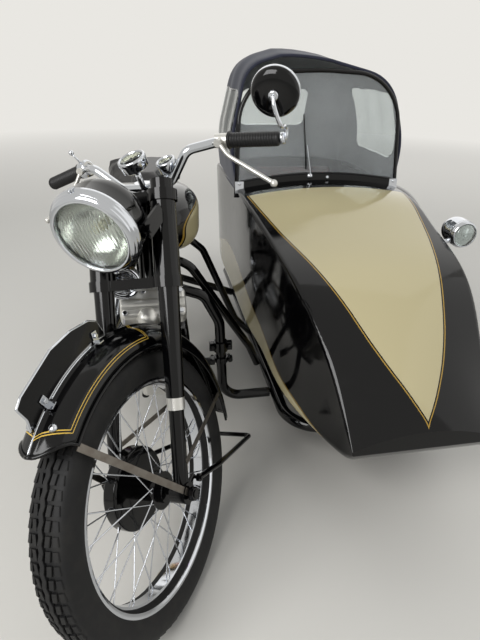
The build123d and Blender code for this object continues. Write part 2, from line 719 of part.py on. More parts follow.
tank_sections = (
    # y, half width, low z, high z, corner radius
    (402.0, 62.0, 762.0, 826.0, 26.0),
    (500.0, 128.0, 712.0, 858.0, 52.0),
    (640.0, tank_half_width, 696.0, 862.0, 62.0),
    (780.0, 124.0, 704.0, 838.0, 52.0),
    (880.0, 66.0, 722.0, 800.0, 30.0),
)
tank_slices = []
for y, half, low, high, radius in tank_sections:
    plane = Plane(origin=(0, y, 0.5 * (low + high)), x_dir=(1, 0, 0), z_dir=(0, -1, 0))
    tank_slices.append(plane * RectangleRounded(2 * half, high - low, radius))
tank = loft(tank_slices)
tunnel = rod(head_join, (0, seat_lug[1] + 20, seat_lug[2]), frame_tube_radius + 2.3)
tunnel = tunnel + Pos(0, 640, 690) * Box(2 * frame_tube_radius + 16, 620, 150)
tunnel = tunnel + Pos(0, 516, 740) * Box(96, 60, 160)
tank = tank - tunnel - frame
keep("fuel_tank", tank)
keep("filler_cap", Pos(0, 610, 857) * Cylinder(31, 30) - tank)

# Saddle on two springs

saddle_outline = [
    ThreePointArc((-140, 140), (0, 172), (140, 140)),
    Line((140, 140), (128, 20)),
    ThreePointArc((128, 20), (72, -96), (42, -178)),
    Line((42, -178), (-42, -178)),
    ThreePointArc((-42, -178), (-72, -96), (-128, 20)),
    Line((-128, 20), (-140, 140)),
]
saddle_place = Pos(saddle_centre[0], saddle_centre[1] + 85, saddle_centre[2])
saddle = saddle_place * extrude(make_face(saddle_outline), amount=saddle_thick)
keep("saddle", saddle)
saddle_base_z = saddle_centre[2]
spring_y = saddle_centre[1] + 175
spring_foot_z = saddle_base_z - spring_length
springs = []
for side in (-1, 1):
    spring_foot = (side * spring_x, spring_y, spring_foot_z)
    bracket_top = (side * spring_x, spring_y, spring_foot_z + 8)
    bracket_foot = (side * (spring_x + 4), spring_y - 55, spring_foot_z - 58)
    springs.append(rod(spring_foot, (side * spring_x, spring_y, saddle_base_z), spring_radius))
    springs.append(rod(bracket_top, bracket_foot, 7))
nose_y = saddle_centre[1] - 60
nose_bolt = rod((0, nose_y, saddle_base_z - 34), (0, nose_y, saddle_base_z), 14)
nose_link = rod((0, seat_lug[1], seat_lug[2]), (0, saddle_centre[1] - 52, saddle_base_z - 20), 11)
keep("saddle_springs", fused(springs + [nose_bolt + nose_link]) - frame)

# Rear mudguard, carrier, number plate and lamp

rear_guard_place = Pos(0, wheel_base, tyre_radius)
rear_guard = rear_guard_place * mudguard(rear_guard_radius, rear_guard_half_width, rear_guard_valance,
                                         30.0, guard_wall, 2.0, 22.0)
rear_stay_x = stay_x + 7.6
for side in (-1, 1):
    for angle_deg in (28.0, 78.0):
        angle = math.radians(angle_deg)
        reach = rear_guard_radius - 50
        top = (side * rear_guard_half_width, wheel_base + reach * math.cos(angle),
               tyre_radius + reach * math.sin(angle))
        rear_guard = rear_guard + flat_bar(top, (side * rear_stay_x, wheel_base, tyre_radius), 14, 3)
rear_guard = rear_guard - frame
keep("rear_mudguard", rear_guard)

tail_plate_y = wheel_base + rear_guard_radius + 8
tail_lamp = Pos(0, tail_plate_y, 452) * Box(150, 4, 190)
for side in (-1, 1):
    hole_x = side * plate_hole_spacing / 2
    hole = rod((hole_x, tail_plate_y - 9, plate_hole_z), (hole_x, tail_plate_y + 9, plate_hole_z),
               plate_hole_radius)
    tail_lamp = tail_lamp - hole
tail_lamp = tail_lamp + Pos(0, tail_plate_y, 570) * Rot(90, 0, 0) * Cylinder(32, 44)
tail_lamp = tail_lamp + Pos(0, tail_plate_y - 17, 452) * Box(30, 32, 60)
keep("tail_lamp", tail_lamp - rear_guard)

toolbox_centre = (-98, 985, 560)
toolbox = Pos(*toolbox_centre) * rounded_box(62, 170, 150, 14)
toolbox_strap = rod((-70, 985, 560), (-10, 925, 560), 9)
keep("toolbox", toolbox + toolbox_strap - frame)

horn_centre = (-72, 379, 674)
horn = Pos(*horn_centre) * Rot(90, 0, 0) * (Cylinder(44, 26) + Pos(0, 0, -22) * Cylinder(26, 26))
horn = horn + rod((-72, 404, 668), (-38, 506, 680), 6)
keep("horn", horn - frame)

footrest_z = 176.0
footrest_y = 735.0
footrest_bar = rod((-205, footrest_y, footrest_z), (205, footrest_y, footrest_z), 8)
footrest_bar = footrest_bar + rod((-rail_x, footrest_y, footrest_z), (-rail_x, footrest_y, rail_z), 8)
footrest_bar = footrest_bar + rod((rail_x, footrest_y, footrest_z), (rail_x, footrest_y, rail_z), 8)
for side in (-1, 1):
    rubber = rod((side * 120, footrest_y, footrest_z), (side * 210, footrest_y, footrest_z), 15)
    footrest_bar = footrest_bar + rubber
brake_pedal = bent_tube(((-62, 790, 190), (-95, 700, 182), (-190, 560, 192)), (40,), 6)
brake_pedal = brake_pedal + rod((-190, 548, 196), (-190, 590, 196), 13)
footrest_bar = footrest_bar + brake_pedal + rod((-62, 790, 190), (-rail_x, 790, rail_z), 6)
keep("footrests", footrest_bar - frame - exhaust - silencer)

# Rear chain and sprockets' run on the left

chain_front = (gearbox_centre[1], gearbox_centre[2], chain_front_radius)
chain_rear = (wheel_base, tyre_radius, chain_rear_radius)
chain_plane = Plane.YZ.offset(chain_x)
outer_loop = make_hull([edge for y, z, radius in (chain_front, chain_rear)
                        for edge in (Pos(y, z) * Circle(radius + 6)).edges()])
inner_loop = make_hull([edge for y, z, radius in (chain_front, chain_rear)
                        for edge in (Pos(y, z) * Circle(radius - 6)).edges()])
chain = extrude(chain_plane * (outer_loop - inner_loop), amount=9)
keep("rear_chain", chain - frame - gearbox)

# Centre stand, folded up

centre_pivot = (0, 900, 172)
centre_leg_x = 80.0
centre_leg_length = 215.0
centre_leg_radius = 10.0
centre_foot = (0, centre_pivot[1] + centre_leg_length, centre_pivot[2] + 20)
stand = [rod((side * centre_leg_x, centre_pivot[1] + 11, centre_pivot[2] + 1),
             (side * centre_leg_x, centre_foot[1], centre_foot[2]), centre_leg_radius) for side in (-1, 1)]
stand.append(rod((-centre_leg_x, centre_pivot[1] + 48, centre_pivot[2] + 4),
                 (centre_leg_x, centre_pivot[1] + 48, centre_pivot[2] + 4), 7))
for side in (-1, 1):
    stand.append(rod((side * (centre_leg_x - 13), centre_pivot[1], centre_pivot[2]),
                     (side * (centre_leg_x + 13), centre_pivot[1], centre_pivot[2]), 15))
centre_bore = rod((-200, centre_pivot[1], centre_pivot[2]), (200, centre_pivot[1], centre_pivot[2]), 7.05)
keep("centre_stand", fused(stand) - centre_bore)
centre_pin = rod((-centre_leg_x - 18, centre_pivot[1], centre_pivot[2]),
                 (centre_leg_x + 18, centre_pivot[1], centre_pivot[2]), 7)
stand_lugs = [rod((side * 54, seat_post_foot[1], rail_z), (side * 54, centre_pivot[1], centre_pivot[2]), 10)
              for side in (-1, 1)]
frame = fused([frame, centre_pin] + stand_lugs)
keep("frame", frame)

# Sidecar chassis, its wheel's guard and the arms to the motorcycle

rail_in_x, rail_out_x = 388.0, 944.0
chassis_front_y, chassis_rear_y = 300.0, 1580.0
chassis = [
    bent_tube(((rail_in_x, chassis_rear_y, chassis_height), (rail_in_x, chassis_front_y, chassis_height),
               (rail_out_x, chassis_front_y, chassis_height), (rail_out_x, chassis_rear_y, chassis_height)),
              (110, 110), chassis_tube_radius),
]
for y in (500.0, sidecar_wheel_y, chassis_rear_y - 22):
    chassis.append(rod((rail_in_x, y, chassis_height), (rail_out_x, y, chassis_height), 16))
for x in (rail_in_x + 40, rail_out_x - 40):
    for y in (500.0, sidecar_wheel_y):
        chassis.append(Pos(x, y, 0.5 * (chassis_height + body_floor)) * Box(50, 50, body_floor - chassis_height))
stub_end = sidecar_wheel_x + hub_half_length + 16
upright_x = 992.0
chassis.append(Pos(upright_x, sidecar_wheel_y, 0.5 * (chassis_height + tyre_radius) - 4)
               * Box(14, 90, tyre_radius - chassis_height + 60))
chassis.append(rod((rail_out_x, sidecar_wheel_y, chassis_height),
                   (upright_x, sidecar_wheel_y, chassis_height), chassis_tube_radius))
chassis.append(rod((upright_x, sidecar_wheel_y, tyre_radius), (stub_end, sidecar_wheel_y, tyre_radius),
                   axle_radius))
chassis.append(rod((upright_x, sidecar_wheel_y, tyre_radius),
                   (sidecar_wheel_x - hub_half_length - 6, sidecar_wheel_y, tyre_radius), 22))
chassis.append(Pos(stub_end - 6, sidecar_wheel_y, tyre_radius) * Rot(0, 90, 0)
               * extrude(RegularPolygon(16, 6), amount=6, both=True))
sidecar_guard = Pos(sidecar_wheel_x, sidecar_wheel_y, tyre_radius) * mudguard(
    sidecar_guard_radius, sidecar_guard_half_width, 60.0, 34.0, guard_wall, 6.0, 6.0)
for y_step in (-1, 1):
    stay_y = sidecar_wheel_y + y_step * 150
    chassis.append(bent_tube(((rail_out_x, stay_y, chassis_height), (998, stay_y, chassis_height),
                              (sidecar_wheel_x - sidecar_guard_half_width - 7, stay_y, 560)), (24,), 8))
chassis_solid = fused(chassis)
keep("sidecar_chassis", chassis_solid - sidecar_guard)
keep("sidecar_mudguard", sidecar_guard)

swan_neck = bent_tube(((38, 512, 600), (150, 504, 562), (196, 500, 470), (208, 500, 188), (366, 500, 188)),
                      (50, 70, 62), arm_radius)
upper_strut = bent_tube(((38, 516, 690), (110, 506, 660), (318, 620, 300), (352, 640, 216)), (60, 60), 13)
rear_arm = rod((106, 1290, 294), (370, 1300, 192), arm_radius)
rear_strut = bent_tube(((26, 905, 700), (190, 905, 560), (316, 905, 262), (380, 905, 193)), (60, 60), 13)
arms = [arm - frame - chassis_solid - gearbox - oval_cover(
    ((crank.Y, crank.Z, 74), (gearbox_centre[1], gearbox_centre[2], 92)),
    crankcase_half_width, crankcase_half_width + chaincase_thick, 14)
    for arm in (swan_neck, upper_strut, rear_arm, rear_strut)]
keep("sidecar_arms", Compound(arms))

# Sidecar body: a hollow shell lofted through upright sections

body_sections = (
    # y, half floor, floor z, half deck, deck edge z, crown z
    (38.0, 198.0, 312.0, 200.0, 326.0, 366.0),
    (110.0, 206.0, 246.0, 209.0, 398.0, 458.0),
    (210.0, 238.0, 236.0, 225.0, 498.0, 536.0),
    (340.0, 276.0, 236.0, 256.0, 596.0, 612.0),
    (540.0, 294.0, 236.0, 286.0, 668.0, 680.0),
    (780.0, 305.0, 236.0, 313.0, 717.0, 741.0),
    (1080.0, 311.0, 236.0, 324.0, 740.0, 770.0),
    (1460.0, 311.0, 236.0, 328.0, 744.0, 774.0),
    (1690.0, 300.0, 252.0, 316.0, 712.0, 742.0),
    (1850.0, 258.0, 306.0, 268.0, 590.0, 612.0),
    (1925.0, 204.0, 376.0, 206.0, 452.0, 464.0),
)
floor_corner = 34.0
deck_corner = 14.0


def body_slice(y, half_floor, floor_z, half_deck, deck_z, crown_z, inset):
    low, edge, crown = floor_z + inset, deck_z - inset, crown_z - inset
    floor_half, deck_half = half_floor - inset, half_deck - inset
    outline_edges = [
        Line((-floor_half, low), (floor_half, low)),
        Line((floor_half, low), (deck_half, edge)),
        ThreePointArc((deck_half, edge), (0, crown), (-deck_half, edge)),
        Line((-deck_half, edge), (-floor_half, low)),
    ]
    face = make_face(outline_edges)
    corners = face.vertices().sort_by(Axis.Y)
    limit = min(1.0, (edge - low) / 90.0)
    face = fillet(corners[:2], floor_corner * limit)
    face = fillet(face.vertices().sort_by(Axis.Y)[-2:], deck_corner * limit)
    plane = Plane(origin=(sidecar_centre_x, y, 0), x_dir=(1, 0, 0), z_dir=(0, -1, 0))
    return plane * face


def body_solid(inset):
    slices = []
    for number, (y, *sizes) in enumerate(body_sections):
        shift = inset if number == 0 else (-inset if number == len(body_sections) - 1 else 0)
        slices.append(body_slice(y + shift, *sizes, inset))
    return loft(slices)


def above(height):
    return Pos(sidecar_centre_x, 900, height + 500) * Box(2000, 3000, 1000)


outer_body = body_solid(0) & above(body_floor)
inner_body = body_solid(body_wall) & above(body_floor + body_wall)
shell = outer_body - inner_body
cockpit_front, cockpit_rear, cockpit_half = 1100.0, 1560.0, 284.0
cockpit_cut = Pos(sidecar_centre_x, 0.5 * (cockpit_front + cockpit_rear), 760) * extrude(
    RectangleRounded(2 * cockpit_half, cockpit_rear - cockpit_front, 60), amount=90, both=True)
bulkhead_y = 1610.0
bulkhead = (Pos(sidecar_centre_x, bulkhead_y, 500) * Box(900, body_wall, 900)) & inner_body
boot_depth = boot_rear - boot_front
boot_block = Pos(sidecar_centre_x, 0.5 * (boot_front + boot_rear), 700)
lid_region = boot_block * extrude(
    RectangleRounded(2 * boot_half, boot_depth, boot_corner), amount=300, both=True)
lid_hole = boot_block * extrude(
    RectangleRounded(2 * (boot_half + lid_gap), boot_depth + 2 * lid_gap, boot_corner + lid_gap),
    amount=300, both=True)
above_floor = Pos(sidecar_centre_x, boot_front + 100, 700) * Box(900, 500, 400)


def deck_height(x, y):
    """The height of the body's outer skin above one point of the plan."""
    probe = Edge.make_line((x, y, 400), (x, y, 1000))
    return max(vertex.Z for vertex in (probe & outer_body).vertices())


hinge_y = boot_front - hinge_set_back
hinge_deck = deck_height(sidecar_centre_x + hinge_half_x, hinge_y)
hinge_z = hinge_deck + hinge_lift
leaf_y = hinge_y + hinge_leaf_length
leaf_z = deck_height(sidecar_centre_x + hinge_half_x, leaf_y)
ear_low, ear_high = hinge_deck - 6, hinge_z + hinge_barrel_radius
ear_front, ear_rear = hinge_y - 17, hinge_y + hinge_barrel_radius - 1
ear_x_offset = hinge_barrel_half + 1 + hinge_ear_thick / 2
pin_half = hinge_barrel_half + 1 + hinge_ear_thick
boot_lid = shell & lid_region & above_floor
body = shell - cockpit_cut - (lid_hole & above_floor) + bulkhead
for side in (-1, 1):
    hinge_x = sidecar_centre_x + side * hinge_half_x
    for ear in (-1, 1):
        ear_block = Pos(hinge_x + ear * ear_x_offset, 0.5 * (ear_front + ear_rear), 0.5 * (ear_low + ear_high))
        body = body + (ear_block * Box(hinge_ear_thick, ear_rear - ear_front, ear_high - ear_low) - inner_body)
    body = body + rod((hinge_x - pin_half, hinge_y, hinge_z), (hinge_x + pin_half, hinge_y, hinge_z),
                      hinge_pin_radius)
    barrel = rod((hinge_x - hinge_barrel_half, hinge_y, hinge_z),
                 (hinge_x + hinge_barrel_half, hinge_y, hinge_z), hinge_barrel_radius)
    leaf = flat_bar((hinge_x, hinge_y, hinge_z - 4), (hinge_x, leaf_y, leaf_z + 0.5), 4, 2 * hinge_barrel_half)
    bore = rod((hinge_x - pin_half - 4, hinge_y, hinge_z), (hinge_x + pin_half + 4, hinge_y, hinge_z),
               hinge_pin_radius + axle_clearance)
    boot_lid = boot_lid + ((barrel + (leaf - inner_body)) - bore)
keep("sidecar_body", body)
keep("boot_lid", boot_lid)

# Sidecar seat: a cushion on the floor and a leaning back

seat_half = 232.0
cushion = Pos(sidecar_centre_x, 1385, 330) * rounded_box(2 * seat_half, 370, 150, 30)
backrest = Pos(sidecar_centre_x, 1545, 560) * Rot(-6, 0, 0) * rounded_box(2 * seat_half, 84, 330, 30)
seat_box = Pos(sidecar_centre_x, 1380, body_floor + body_wall + 7) * Box(2 * seat_half - 30, 300, 14)
keep("sidecar_seat", cushion + (backrest - cushion) + seat_box - bulkhead - shell)

# Windscreen: an arched tube frame with a clear pane, leaning back a little

screen_plane = Plane(origin=(sidecar_centre_x, screen_base_y, screen_base_z), x_dir=(1, 0, 0),
                     z_dir=(0, -math.cos(math.radians(screen_rake_deg)), math.sin(math.radians(screen_rake_deg))))
rail_half = screen_half - 4
screen_arch = ((-screen_half, -30), (-308, 404), (0, 419), (308, 404), (screen_half, -30))
arch_path = FilletPolyline(*screen_arch, radius=[186, 900, 186])
arch_world = screen_plane * arch_path
screen_arch_tube = sweep(Plane(origin=arch_world @ 0, z_dir=arch_world % 0) * Circle(screen_tube_radius),
                         path=arch_world)
rail_face = make_face([
    Line((-rail_half, -40), (rail_half, -40)), Line((rail_half, -40), (rail_half, 26)),
    ThreePointArc((rail_half, 26), (0, 55), (-rail_half, 26)), Line((-rail_half, 26), (-rail_half, -40)),
])
base_rail = extrude(screen_plane * rail_face, amount=screen_rail_thick / 2, both=True)
screen_frame = screen_arch_tube + base_rail - outer_body
screen_face = make_face([arch_path, Line(screen_arch[-1], screen_arch[0])])
pane = extrude(screen_plane * screen_face, amount=pane_thick / 2, both=True)
pane = pane - screen_frame - outer_body
pane = ShapeList(pane.solids()).sort_by(SortBy.VOLUME)[-1]
keep("windscreen_frame", screen_frame)
keep("windscreen_pane", pane)

# Hood: one closed fabric shell from the windscreen back over the seat, with side windows

hood_sections = (
    # y, half base, base z, left shoulder z, crown z, right shoulder z
    (1040.0, 318.0, 730.0, 1130.0, 1164.0, 1118.0),
    (1170.0, 322.0, 730.0, 1172.0, 1206.0, 1132.0),
    (1310.0, 322.0, 730.0, 1186.0, 1220.0, 1140.0),
    (1450.0, 320.0, 730.0, 1168.0, 1200.0, 1124.0),
    (1570.0, 314.0, 720.0, 1064.0, 1092.0, 1044.0),
    (1650.0, 300.0, 706.0, 880.0, 892.0, 872.0),
)
hood_bulge = 22.0
hood_tumble = 34.0
hood_crown_offset = -70.0
hood_left_corner = 62.0
hood_right_corner = 96.0
hood_full_height = 430.0


def hood_slice(y, half, low, left, crown, right, inset):
    tall = (crown - low) / hood_full_height
    bulge, middle = hood_bulge * tall, low + 165.0 * tall
    tumble = hood_tumble * tall
    side_l, side_r = inset - half - bulge, half + bulge - inset
    top_l, top_r = side_l + bulge + tumble, side_r - bulge - tumble
    face = make_face([
        Line((inset - half, low), (half - inset, low)),
        Line((half - inset, low), (side_r, middle)),
        Line((side_r, middle), (top_r, right - inset)),
        ThreePointArc((top_r, right - inset), (hood_crown_offset, crown - inset), (top_l, left - inset)),
        Line((top_l, left - inset), (side_l, middle)),
        Line((side_l, middle), (inset - half, low)),
    ])
    top = face.vertices().filter_by(lambda vertex: vertex.Y > middle + 1)
    left_corner, right_corner = top.sort_by(Axis.X)[0], top.sort_by(Axis.X)[-1]
    face = fillet(left_corner, hood_left_corner * tall - inset)
    right_corner = face.vertices().sort_by_distance((top_r, right - inset))[0]
    face = fillet(right_corner, hood_right_corner * tall - inset)
    plane = Plane(origin=(sidecar_centre_x, y, 0), x_dir=(1, 0, 0), z_dir=(0, -1, 0))
    return plane * face


def hood_solid(inset, reach):
    slices = []
    for number, (y, half, low, *tops) in enumerate(hood_sections):
        first, last = number == 0, number == len(hood_sections) - 1
        shift = -reach if first else (-inset if last else 0)
        slices.append(hood_slice(y + shift, half, low - reach, *tops, inset))
    return loft(slices)


ahead_of_screen = screen_plane * Pos(0, 300, 200 - screen_tube_radius - 1) * Box(1200, 1400, 400)
hood = hood_solid(0, 0) - hood_solid(hood_wall, 1) - ahead_of_screen
window_plan = Pos(sidecar_centre_x, 1300, 950) * Rot(0, 90, 0) * extrude(
    RectangleRounded(230, 300, 50), amount=500, both=True)
rear_window = Pos(sidecar_centre_x, 1600, 1010) * Rot(90, 0, 0) * extrude(
    RectangleRounded(300, 110, 30), amount=150, both=True)
hood_windows = hood & (window_plan + rear_window)
keep("hood", hood - window_plan - rear_window - outer_body - screen_frame - pane)
keep("hood_windows", hood_windows)

# Side lamp on the outboard deck edge

side_lamp_centre = (1020, 605, 690)
side_lamp_plane = Plane(origin=side_lamp_centre, x_dir=(1, 0, 0), z_dir=(0, -1, 0))
side_lamp = spun([
    Line((0, 26), (38, 22)),
    Line((38, 22), (46, 10)),
    Line((46, 10), (46, -14)),
    ThreePointArc((46, -14), (34, -60), (5, -84)),
    Line((5, -84), (0, -84)),
    Line((0, -84), (0, 26)),
], side_lamp_plane)
side_lamp = side_lamp + rod((1010, 605, 672), (950, 610, 654), 9) - outer_body
keep("side_lamp", side_lamp)

# Everything moves together so that the origin is the base's centre

whole = Compound([solid for shape in nodes.values() for solid in shape.solids()])
bounds = whole.bounding_box()
shift = Vector(-round(0.5 * (bounds.min.X + bounds.max.X), shift_decimals),
               -round(0.5 * (bounds.min.Y + bounds.max.Y), shift_decimals), -bounds.min.Z)

os.makedirs("parts", exist_ok=True)
for name, shape in nodes.items():
    solids = [solid.moved(Location(shift)) for solid in shape.solids()]
    export_step(Compound(solids) if len(solids) > 1 else solids[0], "parts/" + name + ".step")


def turned_point(point):
    arm = vec(point) - steer_base
    return steer_base + arm.rotate(Axis((0, 0, 0), tuple(steer_direction)), -rest_turn_deg)


def metres(point):
    return [round((point.X + shift.X) / 1000, 5), round((point.Y + shift.Y) / 1000, 5),
            round((point.Z + shift.Z) / 1000, 5)]


side_direction = turned_point((100, 0, front_axle_height)) - turned_point((0, 0, front_axle_height))
print(json.dumps({
    "shift_mm": [round(shift.X, 3), round(shift.Y, 3), round(shift.Z, 3)],
    "size_mm": [round(bounds.size.X, 1), round(bounds.size.Y, 1), round(bounds.size.Z, 1)],
    "steer_point": metres(steer_base), "steer_axis": list(steer_direction),
    "front_wheel": metres(turned_point(front_centre)), "side_axis": list(side_direction.normalized()),
    "front_stand": metres(turned_point(stand_pivot)),
    "rear_wheel": metres(vec(rear_centre)), "sidecar_wheel": metres(vec(sidecar_wheel_centre)),
    "centre_stand": metres(vec(centre_pivot)),
    "boot_hinge": metres(Vector(sidecar_centre_x, hinge_y, hinge_z)),
    "exhaust_tail": metres(Vector(*silencer_end)),
    "plate_holes": metres(Vector(0, tail_plate_y + 2, plate_hole_z)),
    "nodes": list(nodes),
}, indent=1))
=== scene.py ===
import json
import math
import bmesh
import bpy
from mathutils import Matrix, Vector


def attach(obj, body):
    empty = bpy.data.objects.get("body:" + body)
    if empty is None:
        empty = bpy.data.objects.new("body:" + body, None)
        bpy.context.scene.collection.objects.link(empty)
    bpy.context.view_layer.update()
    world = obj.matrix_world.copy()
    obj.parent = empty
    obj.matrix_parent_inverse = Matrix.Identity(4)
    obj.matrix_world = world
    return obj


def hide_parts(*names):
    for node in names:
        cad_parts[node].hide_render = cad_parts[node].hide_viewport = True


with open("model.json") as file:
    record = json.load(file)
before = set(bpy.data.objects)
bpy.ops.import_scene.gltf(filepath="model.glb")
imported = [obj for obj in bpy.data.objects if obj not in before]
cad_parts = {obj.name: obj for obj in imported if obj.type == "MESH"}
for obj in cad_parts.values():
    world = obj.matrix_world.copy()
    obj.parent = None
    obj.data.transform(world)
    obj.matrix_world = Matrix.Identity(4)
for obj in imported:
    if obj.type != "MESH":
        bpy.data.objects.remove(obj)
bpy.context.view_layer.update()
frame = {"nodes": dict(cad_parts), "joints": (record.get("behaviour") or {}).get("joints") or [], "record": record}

print("frame loaded")

# Datum: places below are in millimetres from the ground under the front axle with the steering
# straight, X towards the sidecar and Y rearwards. The rear wheel's joint ties them to the frame.
datum = {"rearWheel": (0.0, 1400.0, 325.0), "restTurnDeg": 32.8, "frontAxleZ": 321.3, "sidecarX": 666.0}
joints = {joint["name"]: joint for joint in frame["joints"]}
origin = Vector(joints["rear_wheel_spin"]["pos_m"]) - Vector(datum["rearWheel"]) / 1000
toRow = Matrix.Translation(origin) @ Matrix.Scale(0.001, 4)
steerPlace = Matrix.Translation(Vector(joints["steering"]["pos_m"]))
restTurn = Matrix.Rotation(math.radians(-datum["restTurnDeg"]), 4, Vector(joints["steering"]["axis"]))
steerTurn = steerPlace @ restTurn @ steerPlace.inverted()


def at(x, y, z):
    return toRow @ Vector((x, y, z))


def metres(x, y, z):
    return Vector((x, y, z)) / 1000


def perMetre(millimetres):
    return 1000.0 / millimetres


def colour(hexText, alpha=1.0):
    parts = [int(hexText[i:i + 2], 16) / 255 for i in (1, 3, 5)]
    linear = [p / 12.92 if p <= 0.04045 else ((p + 0.055) / 1.055) ** 2.4 for p in parts]
    return (*linear, alpha)


def connect(tree, node, links):
    # a link starts at a socket, or at the first output of a node
    for name, source in links.items():
        socket = source if isinstance(source, bpy.types.NodeSocket) else source.outputs[0]
        tree.links.new(socket, node.inputs[name])


def addNode(tree, kind, settings=None, links=None):
    node = tree.nodes.new(kind)
    for name, value in (settings or {}).items():
        if isinstance(name, int) or name in node.inputs:
            node.inputs[name].default_value = value
        else:
            setattr(node, name, value)
    connect(tree, node, links or {})
    return node


def startMaterial(name, sockets):
    # the material, its tree, its shader and the place on the piece that patterns read
    material = bpy.data.materials.new(name)
    material.use_nodes = True
    tree = material.node_tree
    shader = tree.nodes["Principled BSDF"]
    for socket, value in sockets.items():
        shader.inputs[socket].default_value = colour(value) if isinstance(value, str) else value
    return material, tree, shader, addNode(tree, "ShaderNodeTexCoord").outputs["Object"]


def setStops(ramp, stops, crisp=False):
    # a colour ramp from a short list of (place, colour) stops
    band = ramp.color_ramp
    band.interpolation = "CONSTANT" if crisp else "LINEAR"
    while len(band.elements) > 1:
        band.elements.remove(band.elements[-1])
    band.elements[0].position = stops[0][0]
    band.elements[0].color = colour(stops[0][1])
    for place, tone in stops[1:]:
        band.elements.new(place).color = colour(tone)


def setCurve(node, points):
    # a float curve through a short list of (in, out) points
    curve = node.mapping.curves[0]
    for number, (x, y) in enumerate(points):
        if number < 2:
            curve.points[number].location = (x, y)
        else:
            curve.points.new(x, y)
    node.mapping.update()


# Finishes: what a surface may show, each on a paint from startMaterial, with sizes in millimetres


def addTones(paint, size, detail, stops):
    # colour that wanders between a few tones
    tree, shader, coords = paint[1:]
    cloud = addNode(tree, "ShaderNodeTexNoise", {"Scale": perMetre(size), "Detail": detail}, {"Vector": coords})
    ramp = addNode(tree, "ShaderNodeValToRGB", None, {"Fac": cloud})
    setStops(ramp, stops)
    connect(tree, shader, {"Base Color": ramp})


def addWear(paint, size, detail, low, high, base):
    # one colour, darker and lighter in cloudy patches
    tree, shader, coords = paint[1:]
    cloud = addNode(tree, "ShaderNodeTexNoise", {"Scale": perMetre(size), "Detail": detail}, {"Vector": coords})
    light = addNode(tree, "ShaderNodeMapRange", {"To Min": low, "To Max": high}, {"Value": cloud})
    tone = addNode(tree, "ShaderNodeHueSaturation", {"Color": colour(base)}, {"Value": light})
    connect(tree, shader, {"Base Color": tone})


def addHaze(paint, size, detail, low, high, least=0.0, most=1.0):
    # gloss that is hazed in patches, from roughness low to high
    tree, shader, coords = paint[1:]
    cloud = addNode(tree, "ShaderNodeTexNoise", {"Scale": perMetre(size), "Detail": detail}, {"Vector": coords})
    rough = addNode(tree, "ShaderNodeMapRange", {"From Min": least, "From Max": most,
                                                 "To Min": low, "To Max": high}, {"Value": cloud})
    connect(tree, shader, {"Roughness": rough})


def addGrain(paint, size, detail, strength, depth, pattern="ShaderNodeTexNoise"):
    # fine relief all over
    tree, shader, coords = paint[1:]
    grain = addNode(tree, pattern, {"Scale": perMetre(size), "Detail": detail}, {"Vector": coords})
    bump = addNode(tree, "ShaderNodeBump", {"Strength": strength, "Distance": depth / 1000}, {"Height": grain})
    connect(tree, shader, {"Normal": bump})


# every stoved enamel has wiping haze in its gloss and the faint ripple of sprayed paint
enamel = {"black": "#040405", "cream": "#bbb08a", "gold": "#a8873a", "specular": 0.3,
          "haze": (45.0, 4.0, 0.06, 0.16, 0.4, 0.75), "grain": (14.0, 2.0, 0.03, 0.2)}
